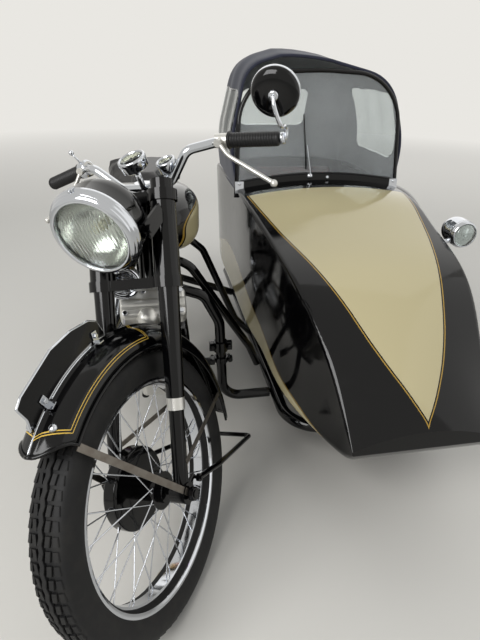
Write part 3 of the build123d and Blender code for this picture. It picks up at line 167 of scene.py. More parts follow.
# name: shader sockets; tones (size, detail, stops); haze (size, detail, least and most roughness);
# grain or beads (size, detail, strength, depth)
plainFinishes = {
    # baked gloss enamel on the cycle parts: deep black, a little dust in its gloss
    "blackStoveEnamel": {"sockets": {"Base Color": enamel["black"], "Specular IOR Level": enamel["specular"]},
                         "haze": enamel["haze"], "grain": enamel["grain"]},
    # decorative chrome on polished steel: mirror bright, a little hazed by wiping
    "chromePlate": {"sockets": {"Base Color": "#c4c7cc", "Metallic": 1.0}, "haze": (35.0, 5.0, 0.03, 0.15)},
    # sand-cast aluminium, buffed but still grained, greyed by oil in its hollows
    "castAlloy": {"sockets": {"Metallic": 0.7, "Roughness": 0.34},
                  "tones": (40.0, 6.0, ((0.0, "#e0dfda"), (1.0, "#b0aea8"))), "grain": (1.6, 2.0, 0.3, 0.3)},
    # bare cast iron, heat darkened, with a coarse sand skin
    "greyIron": {"sockets": {"Metallic": 0.4, "Roughness": 0.62},
                 "tones": (26.0, 8.0, ((0.3, "#2b2b2a"), (0.6, "#3b3a37"), (0.75, "#4b3c30"))),
                 "grain": (2.2, 5.0, 0.5, 0.5)},
    # bare mild steel strip and plated fasteners, greyed and faintly browned by age
    "dullSteel": {"sockets": {"Metallic": 0.85, "Roughness": 0.38},
                  "tones": (18.0, 8.0, ((0.0, "#8b8780"), (1.0, "#5c5248")))},
    # vulcanised tread rubber: near black, dry, with road dust in the grain
    "tyreRubber": {"sockets": {"Roughness": 0.66, "Specular IOR Level": 0.35},
                   "tones": (30.0, 8.0, ((0.45, "#0e0e0f"), (0.8, "#1e1d1b"))), "grain": (3.0, 3.0, 0.2, 0.4)},
    # moulded black rubber of grips and pedals, smooth from handling
    "mouldedRubber": {"sockets": {"Base Color": "#111112", "Roughness": 0.48, "Specular IOR Level": 0.35},
                      "grain": (1.5, 2.0, 0.2, 0.2)},
    # cast acrylic sheet, faintly grey, with fine wiping marks in its gloss
    "clearSheet": {"sockets": {"Base Color": "#e9eeed", "IOR": 1.12, "Transmission Weight": 1.0},
                   "haze": (90.0, 3.0, 0.0, 0.05)},
    # pressed lamp glass, clear and a little green in its thickness
    "lampGlass": {"sockets": {"Base Color": "#f2f7f3", "IOR": 1.45, "Transmission Weight": 1.0},
                  "haze": (8.0, 2.0, 0.02, 0.06)},
    # silvered bowl behind the lamp glass, bright with a slight milky bloom
    "reflectorSilver": {"sockets": {"Base Color": "#cbcbc8", "Metallic": 1.0}, "haze": (20.0, 2.0, 0.12, 0.3)},
    # moulded red rear lens with a fine inner grain
    "rubyGlass": {"sockets": {"Base Color": "#8c0f12", "Roughness": 0.18, "Transmission Weight": 0.4},
                  "beads": (5.0, 0.0, 0.4, 0.6)},
    # printed dial card, off-white, faintly yellowed
    "dialPaper": {"sockets": {"Roughness": 0.6}, "tones": (30.0, 2.0, ((0.0, "#dcd8c8"), (1.0, "#c2bb9f")))},
}


def plainFinish(name, look):
    paint = startMaterial(name, look["sockets"])
    if "tones" in look:
        addTones(paint, *look["tones"])
    if "haze" in look:
        addHaze(paint, *look["haze"])
    if "grain" in look:
        addGrain(paint, *look["grain"])
    if "beads" in look:
        addGrain(paint, *look["beads"], "ShaderNodeTexVoronoi")
    return paint[0]


def startEnamel(name):
    # an enamel whose colour is painted in lines and panels
    paint = startMaterial(name, {"Specular IOR Level": enamel["specular"]})
    addHaze(paint, *enamel["haze"])
    addGrain(paint, *enamel["grain"])
    return paint


# outlines of the cream panel on the deck and of the flash on the body's sides: half width or
# height over the run from first to last; gap and line are the black and the gold beside the cream
deckPanel = {"first": 52.0, "last": 1012.0, "size": 300.0, "gap": 4.0, "line": 3.2, "cutY": 946.0,
             "lowestZ": 350.0, "leastUpward": 0.1,
             "edge": ((0.0, 0.0), (0.05, 0.127), (0.154, 0.317), (0.259, 0.453), (0.468, 0.68),
                      (0.676, 0.86), (0.885, 0.983), (1.0, 1.0))}
sideFlash = {"first": 150.0, "last": 1700.0, "size": 200.0, "gap": 2.5, "line": 2.6, "lowZ": 242.0,
             "leastSideways": 0.45,
             "edge": ((0.0, 0.0), (0.05, 0.1), (0.113, 0.21), (0.2, 0.29), (0.29, 0.42), (0.38, 0.58),
                      (0.45, 0.74), (0.52, 0.88), (0.61, 0.98), (0.7, 1.0), (0.85, 0.8), (1.0, 0.0))}
coachLining = {"band": 10.0, "mitreSlope": 0.7}


def coachEnamel():
    # black coach enamel with the cream deck panel, the cream side flash and gold lining
    material, tree, shader, coords = startEnamel("coachEnamel")
    local = addNode(tree, "ShaderNodeVectorMath",
                    {"operation": "SUBTRACT", 1: tuple(at(datum["sidecarX"], 0.0, 0.0))}, {0: coords})
    place = addNode(tree, "ShaderNodeSeparateXYZ", None, {0: local})
    facing = addNode(tree, "ShaderNodeSeparateXYZ", None,
                     {0: addNode(tree, "ShaderNodeNewGeometry").outputs["Normal"]})
    along, up = place.outputs["Y"], place.outputs["Z"]
    across = addNode(tree, "ShaderNodeMath", {"operation": "ABSOLUTE"}, {0: place})
    side = addNode(tree, "ShaderNodeMath", {"operation": "SIGN"}, {0: place})
    sideways = addNode(tree, "ShaderNodeMath", {"operation": "MULTIPLY"}, {0: side, 1: facing})
    above = addNode(tree, "ShaderNodeMath", {"operation": "SUBTRACT", 1: sideFlash["lowZ"] / 1000}, {0: up})
    paints = []
    for part, measured in ((deckPanel, across), (sideFlash, above)):
        first, band = part["first"] / 1000, coachLining["band"]
        share = addNode(tree, "ShaderNodeMapRange", {"From Min": first, "From Max": part["last"] / 1000},
                        {"Value": along})
        edge = addNode(tree, "ShaderNodeFloatCurve", None, {"Value": share})
        setCurve(edge, part["edge"])
        reach = addNode(tree, "ShaderNodeMath", {"operation": "MULTIPLY", 1: part["size"] / 1000}, {0: edge})
        # ahead of its tip the edge runs on as a mitre, so that the lining closes to a point
        ahead = addNode(tree, "ShaderNodeMath", {"operation": "SUBTRACT", 0: first}, {1: along})
        mitre = addNode(tree, "ShaderNodeMath", {"operation": "MAXIMUM", 1: 0.0}, {0: ahead})
        widened = addNode(tree, "ShaderNodeMath", {"operation": "MULTIPLY_ADD", 1: coachLining["mitreSlope"]},
                          {0: mitre, 2: measured})
        past = addNode(tree, "ShaderNodeMath", {"operation": "SUBTRACT"}, {0: widened, 1: reach})
        scaled = addNode(tree, "ShaderNodeMapRange", {"From Min": -band / 1000, "From Max": band / 1000},
                         {"Value": past})
        ramp = addNode(tree, "ShaderNodeValToRGB", None, {"Fac": scaled})
        line = 0.5 + part["gap"] / (2 * band)
        setStops(ramp, ((0.0, enamel["cream"]), (0.5, enamel["black"]), (line, enamel["gold"]),
                        (line + part["line"] / (2 * band), enamel["black"])), True)
        paints.append(ramp)
    # where each shows: socket, above or below, limit
    limits = (((up, "GREATER_THAN", deckPanel["lowestZ"] / 1000),
               (facing.outputs["Z"], "GREATER_THAN", deckPanel["leastUpward"]),
               (along, "LESS_THAN", deckPanel["cutY"] / 1000)),
              ((sideways, "GREATER_THAN", sideFlash["leastSideways"]),
               (up, "GREATER_THAN", sideFlash["lowZ"] / 1000),
               (along, "GREATER_THAN", sideFlash["first"] / 1000),
               (along, "LESS_THAN", sideFlash["last"] / 1000)))
    shown = addNode(tree, "ShaderNodeRGB")
    shown.outputs[0].default_value = colour(enamel["black"])
    shown = shown.outputs[0]
    for group, paint in zip(limits, paints):
        gate = None
        for socket, kind, limit in group:
            test = addNode(tree, "ShaderNodeMath", {"operation": kind, 1: limit}, {0: socket})
            gate = (addNode(tree, "ShaderNodeMath", {"operation": "MULTIPLY"}, {0: gate, 1: test})
                    if gate else test)
        shown = addNode(tree, "ShaderNodeMix", {"data_type": "RGBA"}, {0: gate, 6: shown, 7: paint}).outputs[2]
    connect(tree, shader, {"Base Color": shown})
    return material


# the tank's two painted fields as rounded oblongs, and how far a surface must face up for the second
tankPanels = {"flank": ((0.0, 606.0, 770.0), (("Y", 168.0), ("Z", 60.0))),
              "crown": ((0.0, 560.0, 0.0), (("X", 52.0), ("Y", 62.0))),
              "power": 3.2, "leastUpward": 0.72, "stops": (0.46, 0.51, 0.58)}


def tankEnamel():
    # black tank enamel with a cream panel on each flank, a cream patch on the crown and gold lining
    material, tree, shader, coords = startEnamel("tankEnamel")
    fields = []
    for centre, halves in (tankPanels["flank"], tankPanels["crown"]):
        local = addNode(tree, "ShaderNodeVectorMath", {"operation": "SUBTRACT", 1: tuple(at(*centre))},
                        {0: coords})
        place = addNode(tree, "ShaderNodeSeparateXYZ", None, {0: local})
        powers = []
        for axis, half in halves:
            share = addNode(tree, "ShaderNodeMath", {"operation": "MULTIPLY", 1: perMetre(half)},
                            {0: place.outputs[axis]})
            size = addNode(tree, "ShaderNodeMath", {"operation": "ABSOLUTE"}, {0: share})
            powers.append(addNode(tree, "ShaderNodeMath", {"operation": "POWER", 1: tankPanels["power"]},
                                  {0: size}))
        fields.append(addNode(tree, "ShaderNodeMath", {"operation": "ADD"}, {0: powers[0], 1: powers[1]}))
    facing = addNode(tree, "ShaderNodeSeparateXYZ", None,
                     {0: addNode(tree, "ShaderNodeNewGeometry").outputs["Normal"]})
    upward = addNode(tree, "ShaderNodeMath", {"operation": "GREATER_THAN", 1: tankPanels["leastUpward"]},
                     {0: facing.outputs["Z"]})
    field = addNode(tree, "ShaderNodeMix", {"data_type": "FLOAT"}, {0: upward, 2: fields[0], 3: fields[1]})
    halved = addNode(tree, "ShaderNodeMath", {"operation": "MULTIPLY", 1: 0.5}, {0: field})
    ramp = addNode(tree, "ShaderNodeValToRGB", None, {"Fac": halved})
    places = (0.0, *tankPanels["stops"])
    setStops(ramp, list(zip(places, [enamel[name] for name in ("cream", "black", "gold", "black")])), True)
    connect(tree, shader, {"Base Color": ramp})
    return material


guardLining = {"side": 0.088, "twin": 0.026, "half": 0.0042, "frontU": 0.325, "endTwin": 0.0048,
               "endHalf": 0.001, "rearU": 0.617, "slant": 0.06, "tone": "#c9a648"}


def linedGuardEnamel():
    # guard enamel with twin gold lines, drawn by the guard's own UV: U is the angle from straight
    # ahead over 180 degrees, V runs from edge to edge
    lines = guardLining
    material, tree, shader, coords = startEnamel("linedGuardEnamel")
    place = addNode(tree, "ShaderNodeSeparateXYZ", None, {0: coords.node.outputs["UV"]})
    fromMiddle = addNode(tree, "ShaderNodeMath", {"operation": "SUBTRACT", 1: 0.5}, {0: place.outputs["Y"]})
    spread = addNode(tree, "ShaderNodeMath", {"operation": "ABSOLUTE"}, {0: fromMiddle})
    inward = addNode(tree, "ShaderNodeMath", {"operation": "SUBTRACT", 0: 0.5}, {1: spread})
    lean = addNode(tree, "ShaderNodeMath", {"operation": "MULTIPLY", 1: lines["slant"]}, {0: spread})
    along = addNode(tree, "ShaderNodeMath", {"operation": "SUBTRACT"}, {0: place, 1: lean})
    shown = None
    for number in (0, 1):
        sideAt = lines["side"] + number * lines["twin"]
        frontAt = lines["frontU"] + number * lines["endTwin"]
        rearAt = lines["rearU"] - number * lines["endTwin"]
        nearSide, nearFront, nearRear, pastFront, beforeRear, inside = [
            addNode(tree, "ShaderNodeMath", {"operation": kind, 1: limit, 2: half}, {0: node})
            for node, kind, limit, half in (
                (inward, "COMPARE", sideAt, lines["half"]), (along, "COMPARE", frontAt, lines["endHalf"]),
                (place, "COMPARE", rearAt, lines["endHalf"]), (along, "GREATER_THAN", frontAt, 0.0),
                (place, "LESS_THAN", rearAt, 0.0), (inward, "GREATER_THAN", sideAt, 0.0))]
        run = addNode(tree, "ShaderNodeMath", {"operation": "MULTIPLY"}, {0: pastFront, 1: beforeRear})
        for one, other in ((nearSide, run), (nearFront, inside), (nearRear, inside)):
            mask = addNode(tree, "ShaderNodeMath", {"operation": "MULTIPLY"}, {0: one, 1: other})
            shown = (addNode(tree, "ShaderNodeMath", {"operation": "MAXIMUM"}, {0: shown, 1: mask})
                     if shown else mask)
    tone = addNode(tree, "ShaderNodeMix", {"data_type": "RGBA", 6: colour(enamel["black"]),
                                           7: colour(lines["tone"])}, {0: shown})
    connect(tree, shader, {"Base Color": tone.outputs[2]})
    return material


hotPipe = {"port": (-60.0, 395.0, 500.0), "wanderMm": 60.0, "wander": 0.08,
           # metres from the port, tone of the heat tint
           "tint": ((0.0, "#8f8f9c"), (0.1, "#6f7391"), (0.16, "#8a6f86"), (0.22, "#a98a54"),
                    (0.32, "#c0bba8"), (0.42, "#c2c5ca"))}


def pipeChrome():
    # exhaust chrome, straw to blue where the hot end of the pipe leaves the head
    material, tree, shader, coords = startMaterial("pipeChrome", {"Metallic": 1.0, "Roughness": 0.14})
    fromPort = addNode(tree, "ShaderNodeVectorMath", {"operation": "DISTANCE", 1: tuple(at(*hotPipe["port"]))},
                       {0: coords})
    wander = addNode(tree, "ShaderNodeTexNoise", {"Scale": perMetre(hotPipe["wanderMm"])}, {"Vector": coords})
    shaken = addNode(tree, "ShaderNodeMath", {"operation": "MULTIPLY_ADD", 1: hotPipe["wander"]},
                     {0: wander, 2: fromPort.outputs["Value"]})
    ramp = addNode(tree, "ShaderNodeValToRGB", None, {"Fac": shaken})
    setStops(ramp, hotPipe["tint"])
    connect(tree, shader, {"Base Color": ramp})
    return material


def saddleLeathercloth(name, base):
    # coated cloth with a pressed hide grain and a soft sheen on its crown
    paint = startMaterial(name, {"Roughness": 0.46})
    addWear(paint, 70.0, 5.0, 0.75, 1.35, base)
    addGrain(paint, 2.6, 0.0, 0.4, 0.4, "ShaderNodeTexVoronoi")
    return paint[0]


def wovenCloth(name, base, threadMm):
    # rubberised hood cloth: a plain weave of crossed thread waves, faded in cloudy patches
    paint = startMaterial(name, {"Roughness": 0.78, "Sheen Weight": 0.2})
    addWear(paint, 120.0, 6.0, 0.7, 1.5, base)
    material, tree, shader, coords = paint
    crossed = None
    for direction in ("X", "Y", "Z"):
        thread = addNode(tree, "ShaderNodeTexWave", {"Scale": perMetre(threadMm) / math.tau, "Distortion": 0.3,
                                                     "bands_direction": direction},
                         {"Vector": coords}).outputs["Fac"]
        crossed = addNode(tree, "ShaderNodeMath", {"operation": "MAXIMUM"},
                          {0: crossed, 1: thread}) if crossed else thread
    bump = addNode(tree, "ShaderNodeBump", {"Strength": 0.25, "Distance": 0.0003}, {"Height": crossed})
    connect(tree, shader, {"Normal": bump})
    return material


def milkyGlareScreen():
    # the windscreen's sheet: clear with fine scratches, but milky grey in cloudy patches from a diffuse grey layer
    # that is painted glare, a painted reflection on the sheet
    material, tree, shader, coords = startMaterial("milkyGlareScreen", {
        "Base Color": "#e6eaea", "IOR": 1.3, "Transmission Weight": 1.0, "Roughness": 0.02})
    haze = addNode(tree, "ShaderNodeTexNoise", {"Scale": perMetre(160.0), "Detail": 6.0}, {"Vector": coords})
    share = addNode(tree, "ShaderNodeMapRange", {"To Min": 0.1, "To Max": 0.3}, {"Value": haze})
    # a diffuse grey mixed into the clear sheet in cloudy patches: painted glare, a painted reflection, not a
    # property of the acrylic
    paintedGlare = addNode(tree, "ShaderNodeBsdfDiffuse", {"Color": colour("#c9cdcf")})
    mix = addNode(tree, "ShaderNodeMixShader", None, {0: share, 1: shader, 2: paintedGlare})
    connect(tree, tree.nodes["Material Output"], {"Surface": mix})
    return material


finish = {name: plainFinish(name, look) for name, look in plainFinishes.items()}
for maker in (coachEnamel, tankEnamel, linedGuardEnamel, pipeChrome, milkyGlareScreen):
    finish[maker.__name__] = maker()
finish["saddleHide"] = saddleLeathercloth("saddleHide", "#161516")
finish["seatHide"] = saddleLeathercloth("seatHide", "#4a1a18")
finish["hoodCloth"] = wovenCloth("hoodCloth", "#10152a", 2.4)
finish["hoodLining"] = wovenCloth("hoodLining", "#8d8f92", 2.0)

slotFinish = {
    "black_enamel": "blackStoveEnamel", "body_enamel": "coachEnamel", "tank_enamel": "tankEnamel",
    "tyre_black": "tyreRubber", "wheel_chrome": "chromePlate", "bright_chrome": "chromePlate",
    "cast_alloy": "castAlloy", "grey_iron": "greyIron", "dull_steel": "dullSteel",
    "black_rubber": "mouldedRubber", "black_leather": "saddleHide", "seat_leather": "seatHide",
    "hood_fabric": "hoodCloth", "clear_screen": "clearSheet", "lamp_glass": "lampGlass",
}
finishSlot = {finishName: slotName for slotName, finishName in slotFinish.items()}
finishSlot.update({"linedGuardEnamel": "black_enamel", "pipeChrome": "bright_chrome", "rubyGlass": "lamp_glass",
                   "dialPaper": "cast_alloy", "reflectorSilver": "bright_chrome", "hoodLining": "hood_fabric"})
for part in frame["record"]["subparts"]:
    node = frame["nodes"][part["node"]]
    node.data.materials.clear()
    node.data.materials.append(finish[slotFinish[part["material_slot"]]])
frame["nodes"]["exhaust"].data.materials[0] = finish["pipeChrome"]
# the windscreen pane takes the clear sheet with its painted glare
frame["nodes"]["windscreen_pane"].data.materials[0] = finish["milkyGlareScreen"]
print("finishes ready")


# Shape helpers: every piece is built in row coordinates with its object at the origin


def newObject(name, data):
    thing = bpy.data.objects.new(name, data)
    bpy.context.scene.collection.objects.link(thing)
    return thing


def shade(mesh, smooth):
    mesh.polygons.foreach_set("use_smooth", [smooth] * len(mesh.polygons))


def makeObject(name, bm, *finishes, smooth=True):
    # turn a bmesh in row metres into an object that carries the named finishes
    bmesh.ops.recalc_face_normals(bm, faces=bm.faces)
    mesh = bpy.data.meshes.new(name)
    bm.to_mesh(mesh)
    bm.free()
    shade(mesh, smooth)
    thing = newObject(name, mesh)
    for finishName in finishes:
        mesh.materials.append(finish[finishName])
    return thing


def apply(thing):
    # keep what the modifiers make as a plain mesh, and drop the modifiers
    graph = bpy.context.evaluated_depsgraph_get()
    mesh = bpy.data.meshes.new_from_object(thing.evaluated_get(graph))
    thing.modifiers.clear()
    thing.data = mesh
    return thing


def softened(thing, width):
    # round the hard edges of a finished solid by a small real radius
    bevel = thing.modifiers.new("softEdges", "BEVEL")
    bevel.width = width / 1000
    bevel.segments = 2
    bevel.limit_method = "ANGLE"
    bevel.angle_limit = math.radians(35.0)
    bevel.harden_normals = True
    return apply(thing)


def framed(place, ahead, up=(0, 0, 1)):
    # a matrix whose Z points along ahead and whose Y leans to up, at a row place
    z = Vector(ahead).normalized()
    x = Vector(up).cross(z).normalized()
    return Matrix.Translation(place) @ Matrix((x, z.cross(x), z)).transposed().to_4x4()


def addRings(bm, rings, closed=True, capped=False, endless=False):
    # join rows of points by quads; a row of one point is a pole, and endless goes back to the first
    rows = [[bm.verts.new(point) for point in ring] for ring in rings]
    for low, high in zip(rows, rows[1:] + (rows[:1] if endless else [])):
        count = max(len(low), len(high))
        for i in range(count if closed else count - 1):
            j = (i + 1) % count
            corners = (low[i % len(low)], low[j % len(low)], high[j % len(high)], high[i % len(high)])
            distinct = list(dict.fromkeys(corners))
            if len(distinct) > 2:
                bm.faces.new(distinct)
    if capped:
        bm.faces.new(rows[0][::-1])
        bm.faces.new(rows[-1])
    return rows


def addTurned(bm, matrix, profile, steps=48, closed=False):
    # spin a profile of (radius, height) millimetres round the matrix's Z; ends on the axis are
    # closed, a closed profile goes round on itself
    turns = [math.tau * i / steps for i in range(steps)]
    addRings(bm, [[matrix @ metres(radius * math.cos(turn), radius * math.sin(turn), height)
                   for turn in (turns if radius > 0.01 else (0.0,))]
                  for radius, height in profile], endless=closed)


def turnedPiece(name, finishName, matrix, profile, steps, closed=False):
    bm = bmesh.new()
    addTurned(bm, matrix, profile, steps, closed)
    return makeObject(name, bm, finishName)


def addBox(bm, matrix, size):
    # a block of the given size in millimetres, centred on the matrix
    bmesh.ops.create_cube(bm, size=1.0, matrix=matrix @ Matrix.Diagonal((*metres(*size), 1)))


def addRod(bm, start, end, radius, steps=20):
    # a round bar between two row points
    length = (end - start).length * 1000
    addTurned(bm, framed(start, end - start, (0.31, 0.2, 0.93)),
              ((0, 0), (radius, 0), (radius, length), (0, length)), steps)


def addHex(bm, matrix, acrossFlats, height):
    # a hexagon head with its turned chamfer, sitting on the matrix
    corner = acrossFlats / 2 / math.cos(math.pi / 6)
    chamfer = 0.14 * height
    addTurned(bm, matrix, ((0, 0), (corner, 0), (corner, height - chamfer), (0.86 * corner, height),
                           (0, height)), 6)


def addTube(bm, points, radius, steps=14):
    # a round tube swept along row points, its section turned as little as possible
    rings = []
    side = None
    for number, point in enumerate(points):
        before = points[max(number - 1, 0)]
        after = points[min(number + 1, len(points) - 1)]
        ahead = (after - before).normalized()
        side = side or ahead.orthogonal()
        side = (side - ahead * side.dot(ahead)).normalized()
        across = ahead.cross(side)
        rings.append([point + (side * math.cos(math.tau * i / steps) + across * math.sin(math.tau * i / steps))
                      * (radius / 1000) for i in range(steps)])
    addRings(bm, rings, capped=True)


def smoothPath(points, steps=8):
    # a Catmull-Rom path through row points
    padded = [points[0] * 2 - points[1], *points, points[-1] * 2 - points[-2]]
    path = []
    for a, b, c, d in zip(padded, padded[1:], padded[2:], padded[3:]):
        for i in range(steps):
            t = i / steps
            path.append(0.5 * (2 * b + (c - a) * t + (2 * a - 5 * b + 4 * c - d) * t ** 2
                               + (3 * b - 3 * c + d - a) * t ** 3))
    path.append(points[-1])
    return path


def spacedEvenly(points, steps):
    # points at equal distances along a line
    lengths = [0.0]
    for a, b in zip(points, points[1:]):
        lengths.append(lengths[-1] + (b - a).length)
    line = []
    place = 0
    for i in range(steps + 1):
        want = lengths[-1] * i / steps
        while place < len(points) - 2 and lengths[place + 1] < want:
            place += 1
        share = (want - lengths[place]) / max(lengths[place + 1] - lengths[place], 1e-6)
        line.append(points[place].lerp(points[place + 1], min(max(share, 0), 1)))
    return line


def steered(x, y, z):
    # a place on the steering, given with the steering straight ahead
    return steerTurn @ at(x, y, z)


def steeredFrame(place, ahead, up=(0, 0, 1)):
    return steerTurn @ framed(at(*place), ahead, up)


# Tyres: a carcass with its grooves, and a tread segment repeated round it

tyre = {"radius": 325.0, "segments": 80, "ringSteps": 240, "blockDepth": 10.5, "shoulderFrom": 20.0,
        "shoulderDepth": 4.0, "ribSway": 1.6,
        # half of the section from the tread's centre to the bead: lateral, radius below the outline
        "section": ((0, 6.5), (7, 6.6), (13, 6.6), (20, 7.0), (30, 8.6), (36, 11.5), (40, 17), (43, 27),
                    (43.6, 40), (42, 54), (37, 68), (31, 77), (28, 84))}
tread = (
    # lateral centre, width, length, slant, drop of the block below the outline
    (0.0, 11.0, 0.86, 0.0, 0.3),
    (-14.5, 10.5, 0.74, 0.12, 1.0), (14.5, 10.5, 0.74, -0.12, 1.0),
    (-29.0, 10.0, 0.66, -0.10, 4.2), (29.0, 10.0, 0.66, 0.10, 4.2),
)


def treadRing(t, lateral, width, share, slant, drop):
    # the section of a block or of the centre rib at t, from 0 to 1 along it
    pitch = math.tau / tyre["segments"]
    isRib = lateral == 0
    along = pitch * (t - 0.5) * (1.0 if isRib else share)
    sway = tyre["ribSway"] * math.sin(math.tau * t) if isRib else slant * width * (2 * t - 1)
    top = tyre["radius"] - drop - 0.05 * abs(lateral)
    lower = tyre["shoulderDepth"] if abs(lateral) > tyre["shoulderFrom"] else 0
    base = tyre["radius"] - tyre["blockDepth"] - lower
    ring = []
    for dz, radius in ((-0.5, base), (-0.46, top - 0.8), (-0.38, top),
                       (0.38, top), (0.46, top - 0.8), (0.5, base)):
        tilt = -abs(lateral) * 0.012 * dz * width * (1 if lateral > 0 else -1)
        r = radius + (tilt if radius > base else 0)
        ring.append(metres(r * math.cos(along), r * math.sin(along), lateral + sway + dz * width))
    return ring


def makeTyre(nodeName, bodyName):
    joint = joints[bodyName + "_spin"]
    matrix = framed(Vector(joint["pos_m"]), Vector(joint["axis"]), (0, 0.2, 0.97))
    half = tyre["section"]
    outer = [(tyre["radius"] - drop, -lateral) for lateral, drop in reversed(half[1:])]
    outer += [(tyre["radius"] - drop, lateral) for lateral, drop in half]
    carcass = turnedPiece(nodeName + "Carcass", "tyreRubber", matrix, outer, tyre["ringSteps"], True)

    # one pitch of the tread: the centre rib bends to and fro, the block rows lean outwards
    bm = bmesh.new()
    for block in tread:
        last = 4 if block[0] == 0 else 1
        addRings(bm, [treadRing(step / last, *block) for step in range(last + 1)], capped=True)
    segment = makeObject(nodeName + "TreadPitch", bm, "tyreRubber", smooth=False)

    group = bpy.data.node_groups.new(nodeName + "TreadRepeat", "GeometryNodeTree")
    group.interface.new_socket("Geometry", in_out="OUTPUT", socket_type="NodeSocketGeometry")
    count = group.interface.new_socket("Pitches", in_out="INPUT", socket_type="NodeSocketInt")
    source = group.interface.new_socket("Pitch shape", in_out="INPUT", socket_type="NodeSocketObject")
    entry = addNode(group, "NodeGroupInput")
    line = addNode(group, "GeometryNodeMeshLine", {"Offset": (0, 0, 0)}, {"Count": entry.outputs["Pitches"]})
    shape = addNode(group, "GeometryNodeObjectInfo", None, {"Object": entry.outputs["Pitch shape"]})
    turn = addNode(group, "ShaderNodeMath", {"operation": "MULTIPLY", 1: math.tau / tyre["segments"]},
                   {0: addNode(group, "GeometryNodeInputIndex")})
    spin = addNode(group, "ShaderNodeCombineXYZ", None, {"Z": turn})
    spread = addNode(group, "GeometryNodeInstanceOnPoints", None,
                     {"Points": line, "Instance": shape.outputs["Geometry"], "Rotation": spin})
    real = addNode(group, "GeometryNodeRealizeInstances", None, {"Geometry": spread})
    painted = addNode(group, "GeometryNodeSetMaterial", {"Material": finish["tyreRubber"]}, {"Geometry": real})
    addNode(group, "NodeGroupOutput", None, {"Geometry": painted})
    holder = newObject(nodeName + "Tread", bpy.data.meshes.new(nodeName + "Tread"))
    repeat = holder.modifiers.new("treadRepeat", "NODES")
    repeat.node_group = group
    repeat[count.identifier] = tyre["segments"]
    repeat[source.identifier] = segment
    apply(holder)
    holder.data.transform(matrix)
    bpy.data.objects.remove(segment)
    shade(holder.data, False)
    for piece in (carcass, holder):
        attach(piece, bodyName)
    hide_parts(nodeName)


for wheel in ("front", "rear", "sidecar"):
    makeTyre(wheel + "_tyre", wheel + "_wheel")
print("tyres ready")

# Front mudguard: one pressed shell with a raised centre bead and rolled edges

guard = {"radius": 380.0, "half": 54.0, "frontDeg": 54.5, "rearDeg": 192.0, "rows": 96, "wall": 1.6,
         "lipSlantDeg": 6.0, "wire": 3.4, "wireRows": 60, "rivetShare": 0.46, "rivetDeg": 62.8}
guardSection = (
    # share of the half width, drop below the crown
    (0.0, 0.0), (0.045, 0.3), (0.085, 2.2), (0.12, 4.2), (0.2, 5.2), (0.35, 7.0), (0.5, 9.6), (0.65, 13.4),
    (0.78, 18.4), (0.88, 24.6), (0.95, 32.0), (0.985, 40.0), (1.0, 51.0),
)


def wheelPlanePoint(lateral, radius, angleDeg):
    # a place on the steering by its radius from the front axle and its angle up from straight ahead
    angle = math.radians(angleDeg)
    return steered(lateral, -radius * math.cos(angle), datum["frontAxleZ"] + radius * math.sin(angle))


def guardPoint(share, drop, angleDeg):
    return wheelPlanePoint(share * guard["half"], guard["radius"] - drop, angleDeg)


def guardAngle(share, t):
    # t runs from the lip, which slants back towards the edges, to the square rear end
    first = guard["frontDeg"] + guard["lipSlantDeg"] * share ** 2
    return first + (guard["rearDeg"] - first) * t


